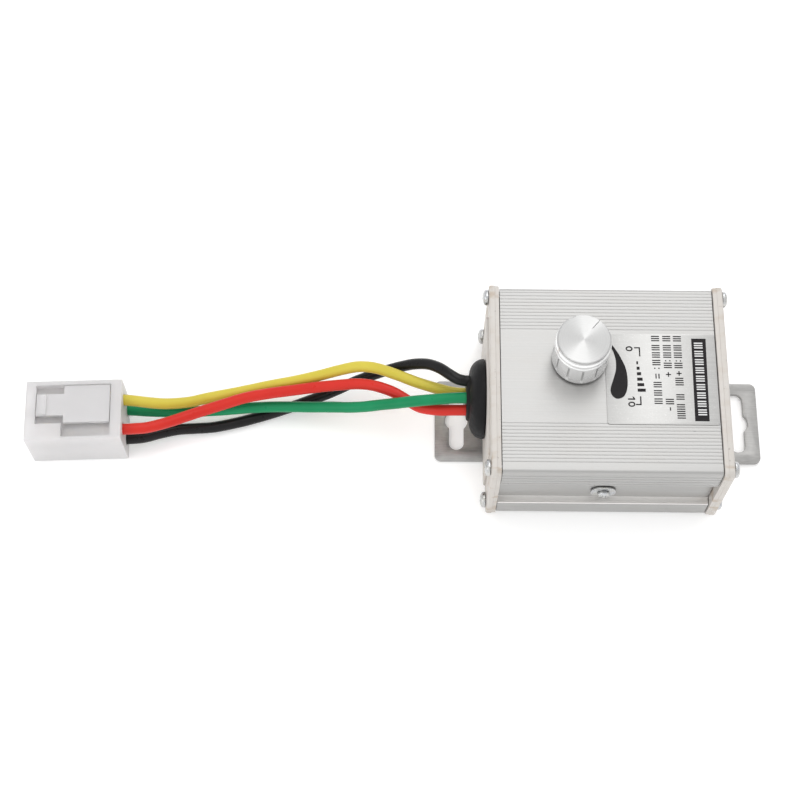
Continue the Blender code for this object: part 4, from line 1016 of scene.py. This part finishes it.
def label_marks():
    """Everything printed dark: hatched rows with signs, a rising scale with its ends, a wedge and a band."""
    marks = []
    for v, words in HATCHED_ROWS:
        for u, length in words:
            marks += strokes(u, v, length, ROW_HIGH)
    for u, v in ((-3.0, 23.5), (-2.6, 19.9)):
        marks += [bar(u, v - 0.2, 1.7, 0.4), bar(u + 0.65, v - 0.85, 0.4, 0.65)]
        marks.append(bar(u + 0.65, v + 0.2, 0.4, 0.65))
    marks += [bar(u, v, length, 0.4) for u, v, length in DASHES]
    marks += [bar(u, v, LINE, LINE) for u, v in DOTS]
    marks += [bar(-6.5 + 2.0 * i, 9.3, 1.15, 0.6 + 0.42 * i) for i in range(6)]
    marks += [bar(-11.7, 10.35, 3.4, LINE), bar(-11.7, 8.8, LINE, 1.55)]
    marks += [bar(6.3, 9.95, 3.2, LINE), bar(9.05, 8.5, LINE, 1.45)]
    marks += digit_zero(-12.0, DIGIT_LOW) + digit_one(7.1, DIGIT_LOW) + digit_zero(8.3, DIGIT_LOW)
    marks.append([(point.x, point.y) for point in smooth_line(WEDGE, 96, closed=True)])
    return [*marks, BAND]


def make_label(materials):
    """A silver film with its dark print, and light hatching on the dark band."""
    low, high = span("label")
    outline = rounded(low.x, low.y, high.x, high.y, 0.8, 6)
    sheet = sheet_with_holes("silver_label", [outline], low.z, high.z, 0.05, materials["label_film"])
    show(resmooth(sheet, 30), CASE, "label")
    ink = print_mesh("label_print", label_marks(), high.z - 0.03, high.z + 0.015, materials["label_ink"])
    show(ink, CASE)
    lights = []
    for i in range(9):
        lights += strokes(-13.6 + 3.05 * i, 29.1, 2.6, 2.9, 0.86, 0.44)
    light = print_mesh("label_light_print", lights, high.z + 0.005, high.z + 0.03, materials["label_light"])
    show(light, CASE)


# ---- The knob


KNOB_FACE_R, KNOB_BORE_R = 8.6, 7.8
KNOB_BOSS_R, KNOB_BOSS_LOW, KNOB_BOSS_HIGH = 5.3, 45.4, 53.7
POINTER_TURN = math.radians(49)  # the knob rests as in the photograph, with its pointer at the back right
POINTER_FROM, POINTER_HALF, POINTER_DEEP = 4.8, 0.55, 0.54
SLITS, SLIT_HALF, SLIT_DEEP = 12, 0.35, 0.45


def make_knob(materials):
    """A turned shell: dished face, bright rim rings, short slits round its side and a pointer groove."""
    low, high = span("knob")
    axis = Vector(JOINTS["knob_turn"]["pos_m"]) / MM
    bottom, top, r, face = low.z, high.z, (high.x - low.x) / 2, KNOB_FACE_R
    shell = [
        (KNOB_BORE_R, bottom + 0.15), (KNOB_BORE_R + 0.15, bottom), (r - 0.3, bottom),
        (r - 0.08, bottom + 0.08), (r, bottom + 0.3),
        (r, top - 4.6), (r - 0.12, top - 4.35), (r - 0.5, top - 4.2),
        (r - 0.5, top - 3.75), (r - 0.12, top - 3.6), (r, top - 3.4), (r, top - 2.5),
        (r - 0.1, top - 2.25), (r - 0.42, top - 1.75), (r - 0.42, top - 1.6),
        (face + 0.28, top - 0.75), (face + 0.28, top - 0.3), (face + 0.12, top - 0.08),
        (face - 0.15, top), (face - 0.45, top - 0.04), (4.0, top - 0.06), (0, top - 0.06),
        (0, KNOB_BOSS_HIGH), (KNOB_BOSS_R, KNOB_BOSS_HIGH), (KNOB_BOSS_R, KNOB_BOSS_LOW),
        (KNOB_BORE_R, KNOB_BOSS_LOW),
    ]
    knob = add_mesh("turned_knob", lathe(shell, 144, ring=True), materials["knob_aluminium"], 24)
    place(knob, (axis.x, axis.y, 0))
    slit_low, slit_high, slit_floor = bottom + 1.6, top - 5.6, r - SLIT_DEEP
    slit = [
        (r + 1, slit_low - 2.7), (slit_floor, slit_low + 1.2), (slit_floor, slit_high), (r + 1, slit_high),
    ]
    for i in range(SLITS):
        wedge = prism(slit, -SLIT_HALF, SLIT_HALF, "Y")
        cut(knob, wedge, (axis.x, axis.y, 0), turn=math.tau * i / SLITS)
    groove = block((POINTER_FROM, -POINTER_HALF, top - POINTER_DEEP), (12.0, POINTER_HALF, top + 1))
    cut(knob, groove, (axis.x, axis.y, 0), turn=POINTER_TURN)
    show(resmooth(knob, 24), KNOB, "knob")


# ---- The connector


PLUG_HALF, PLUG_SIDE, PLUG_HIGH, PLUG_CORNER = 16.5, 11.0, 21.0, 0.8
CAVITIES = [(y, z) for z in (5.4, 14.6) for y in (-5.5, 5.5)]
CAVITY_WIDE, CAVITY_TALL, CAVITY_END = 8.0, 4.6, 8.0
TUNNEL_R = 2.45
LATCH_Y = 1.9
LATCH_FLOOR, LATCH_UNDER, LATCH_TOP = 18.0, 19.3, 21.0
PIVOT_X, POST_THICK = -3.6, 0.8
PAD_END, PAD_BACK, TONGUE_END, TONGUE_HALF = 12.55, -3.4, -12.75, 4.0


def plug_frame():
    """The connector's own axes: origin on the floor at its middle, +X towards the wires."""
    spots = [middle(f"terminal_{number}") for number in (1, 2, 3, 4)]
    ahead = (spots[1] - spots[0]).cross(Vector((0, 0, 1))).normalized()
    low, high = span("connector_housing")
    centre = (low + high) / 2
    turn = Matrix(((ahead.x, -ahead.y, 0), (ahead.y, ahead.x, 0), (0, 0, 1))).to_4x4()
    return Matrix.Translation(Vector((centre.x, centre.y, 0)) * MM) @ turn


def make_connector(materials):
    """The nylon housing, its latch lever and its four receptacles, on the connector's own axes."""
    seat = plug_frame()
    nylon = materials["nylon"]
    outline = rounded(-PLUG_SIDE, 0, PLUG_SIDE, PLUG_HIGH, PLUG_CORNER, 4)
    shell = add_mesh("nylon_housing", prism(outline, -PLUG_HALF, PLUG_HALF, "X"), nylon)
    cut(shell, block((-13.0, -5.1, LATCH_FLOOR), (-3.0, 9.2, PLUG_HIGH + 2)))
    cut(shell, block((-4.0, -10.0, LATCH_FLOOR), (12.8, 9.2, PLUG_HIGH + 2)))
    for post in (-1.2, 4.4):
        low = (PIVOT_X - POST_THICK, post, LATCH_FLOOR - 0.5)
        fuse(shell, block(low, (PIVOT_X + POST_THICK, post + POST_THICK, LATCH_UNDER - 0.3)))
    wide, tall = CAVITY_WIDE / 2, CAVITY_TALL / 2
    for y, z in CAVITIES:
        cut(shell, block((-PLUG_HALF - 2, y - wide, z - tall), (CAVITY_END, y + wide, z + tall)))
        cut(shell, cylinder(TUNNEL_R, CAVITY_END - 0.5, PLUG_HALF + 2, 40), (0, y, z), (1, 0, 0))
    resmooth(shell, 30)
    soften(shell, 0.22, 2, 50)
    latch = make_latch(nylon)
    shell.matrix_world = seat
    latch.matrix_world = seat
    show(shell, CASE, "connector_housing")
    show(latch, LATCH, "connector_latch")
    make_receptacles(materials, seat)
    return [shell, latch]


def make_latch(nylon):
    """Thumb pad towards the wires, tongue with its catch towards the mating face."""
    pad_low, pad_high = LATCH_Y - 6.75, LATCH_Y + 7.0
    tongue_low, tongue_high = LATCH_Y - TONGUE_HALF, LATCH_Y + TONGUE_HALF
    outline = [
        (PAD_END, pad_low), (PAD_END, pad_high), (PAD_BACK, pad_high), (PAD_BACK, tongue_high),
        (TONGUE_END, tongue_high), (TONGUE_END, tongue_low), (PAD_BACK, tongue_low), (PAD_BACK, pad_low),
    ]
    latch = add_mesh("latch_lever", prism(outline, LATCH_UNDER, LATCH_TOP), nylon)
    front, back, root, crest = -12.3, -9.2, LATCH_TOP - 0.5, LATCH_TOP + 0.7
    ramp = [(front, root), (back, root), (back, crest), (back - 0.6, crest), (front, LATCH_TOP)]
    fuse(latch, prism(ramp, tongue_low + 0.3, tongue_high - 0.3, "Y"))
    return soften(resmooth(latch, 30), 0.18, 2, 50)


def make_receptacles(materials, seat):
    """Four brass receptacles: a floor with rolled edges in front, and a barrel crimped round the wire."""
    half, tall, thick, roll = 3.6, 1.7, 0.7, 0.8
    hollow, roof = half - thick, tall - thick
    front = [
        (-half, -tall), (half, -tall), *arc(half - roll, tall - roll, roll, 0, 90, 5),
        (0.5, tall), (0.5, tall - 0.4), (hollow - 0.3, roof), (hollow, roof - 0.5), (hollow, -roof),
        (-hollow, -roof), (-hollow, roof - 0.5), (-hollow + 0.3, roof), (-0.5, tall - 0.4), (-0.5, tall),
        *arc(-half + roll, tall - roll, roll, 90, 180, 5),
    ]
    first = add_mesh("receptacle_1", prism(front, -10.2, 0.5, "X"), materials["terminal_brass"], 30)
    fuse(first, block((0.0, -1.4, -tall), (6.6, 1.4, -roof)))
    barrel = [
        (0, 6.0), (1.6, 6.0), (1.7, 6.2), (1.7, 9.9), (2.2, 10.3), (2.2, 15.9), (2.02, 15.9), (2.02, 10.4),
        (0, 10.3),
    ]
    fuse(first, lathe(barrel, 32), (0, 0, 0), (1, 0, 0))
    resmooth(first, 30)
    for number, (y, z) in enumerate(CAVITIES, 1):
        piece = first if number == 1 else twin(f"receptacle_{number}", first)
        piece.matrix_world = seat @ Matrix.Translation(Vector((0, y, z)) * MM)
        show(piece, CASE, f"terminal_{number}")


# ---- The pieces inside


def paint_inner_nodes(materials):
    """Every CAD node that is shown as it is gets the detailed material of its slot."""
    for name, node in frame["nodes"].items():
        if not node.hide_render:
            node.data.materials.clear()
            node.data.materials.append(materials[SLOT_OF[name]])


def main():
    make_camera()
    materials = make_materials()
    plug_pieces = make_connector(materials)
    make_wires(materials)
    make_light()
    make_floor()
    make_housing(materials)
    end_casting("cable_end_casting", "cable_end_plate", materials)
    end_casting("blank_end_casting", "blank_end_plate", materials)
    make_mounting_plate(materials)
    make_end_screws(materials["zinc_plate"])
    make_side_screw(materials["zinc_plate"])
    make_plate_screws(materials["zinc_plate"])
    make_grommet(materials)
    make_label(materials)
    make_knob(materials)
    paint_inner_nodes(materials)


main()
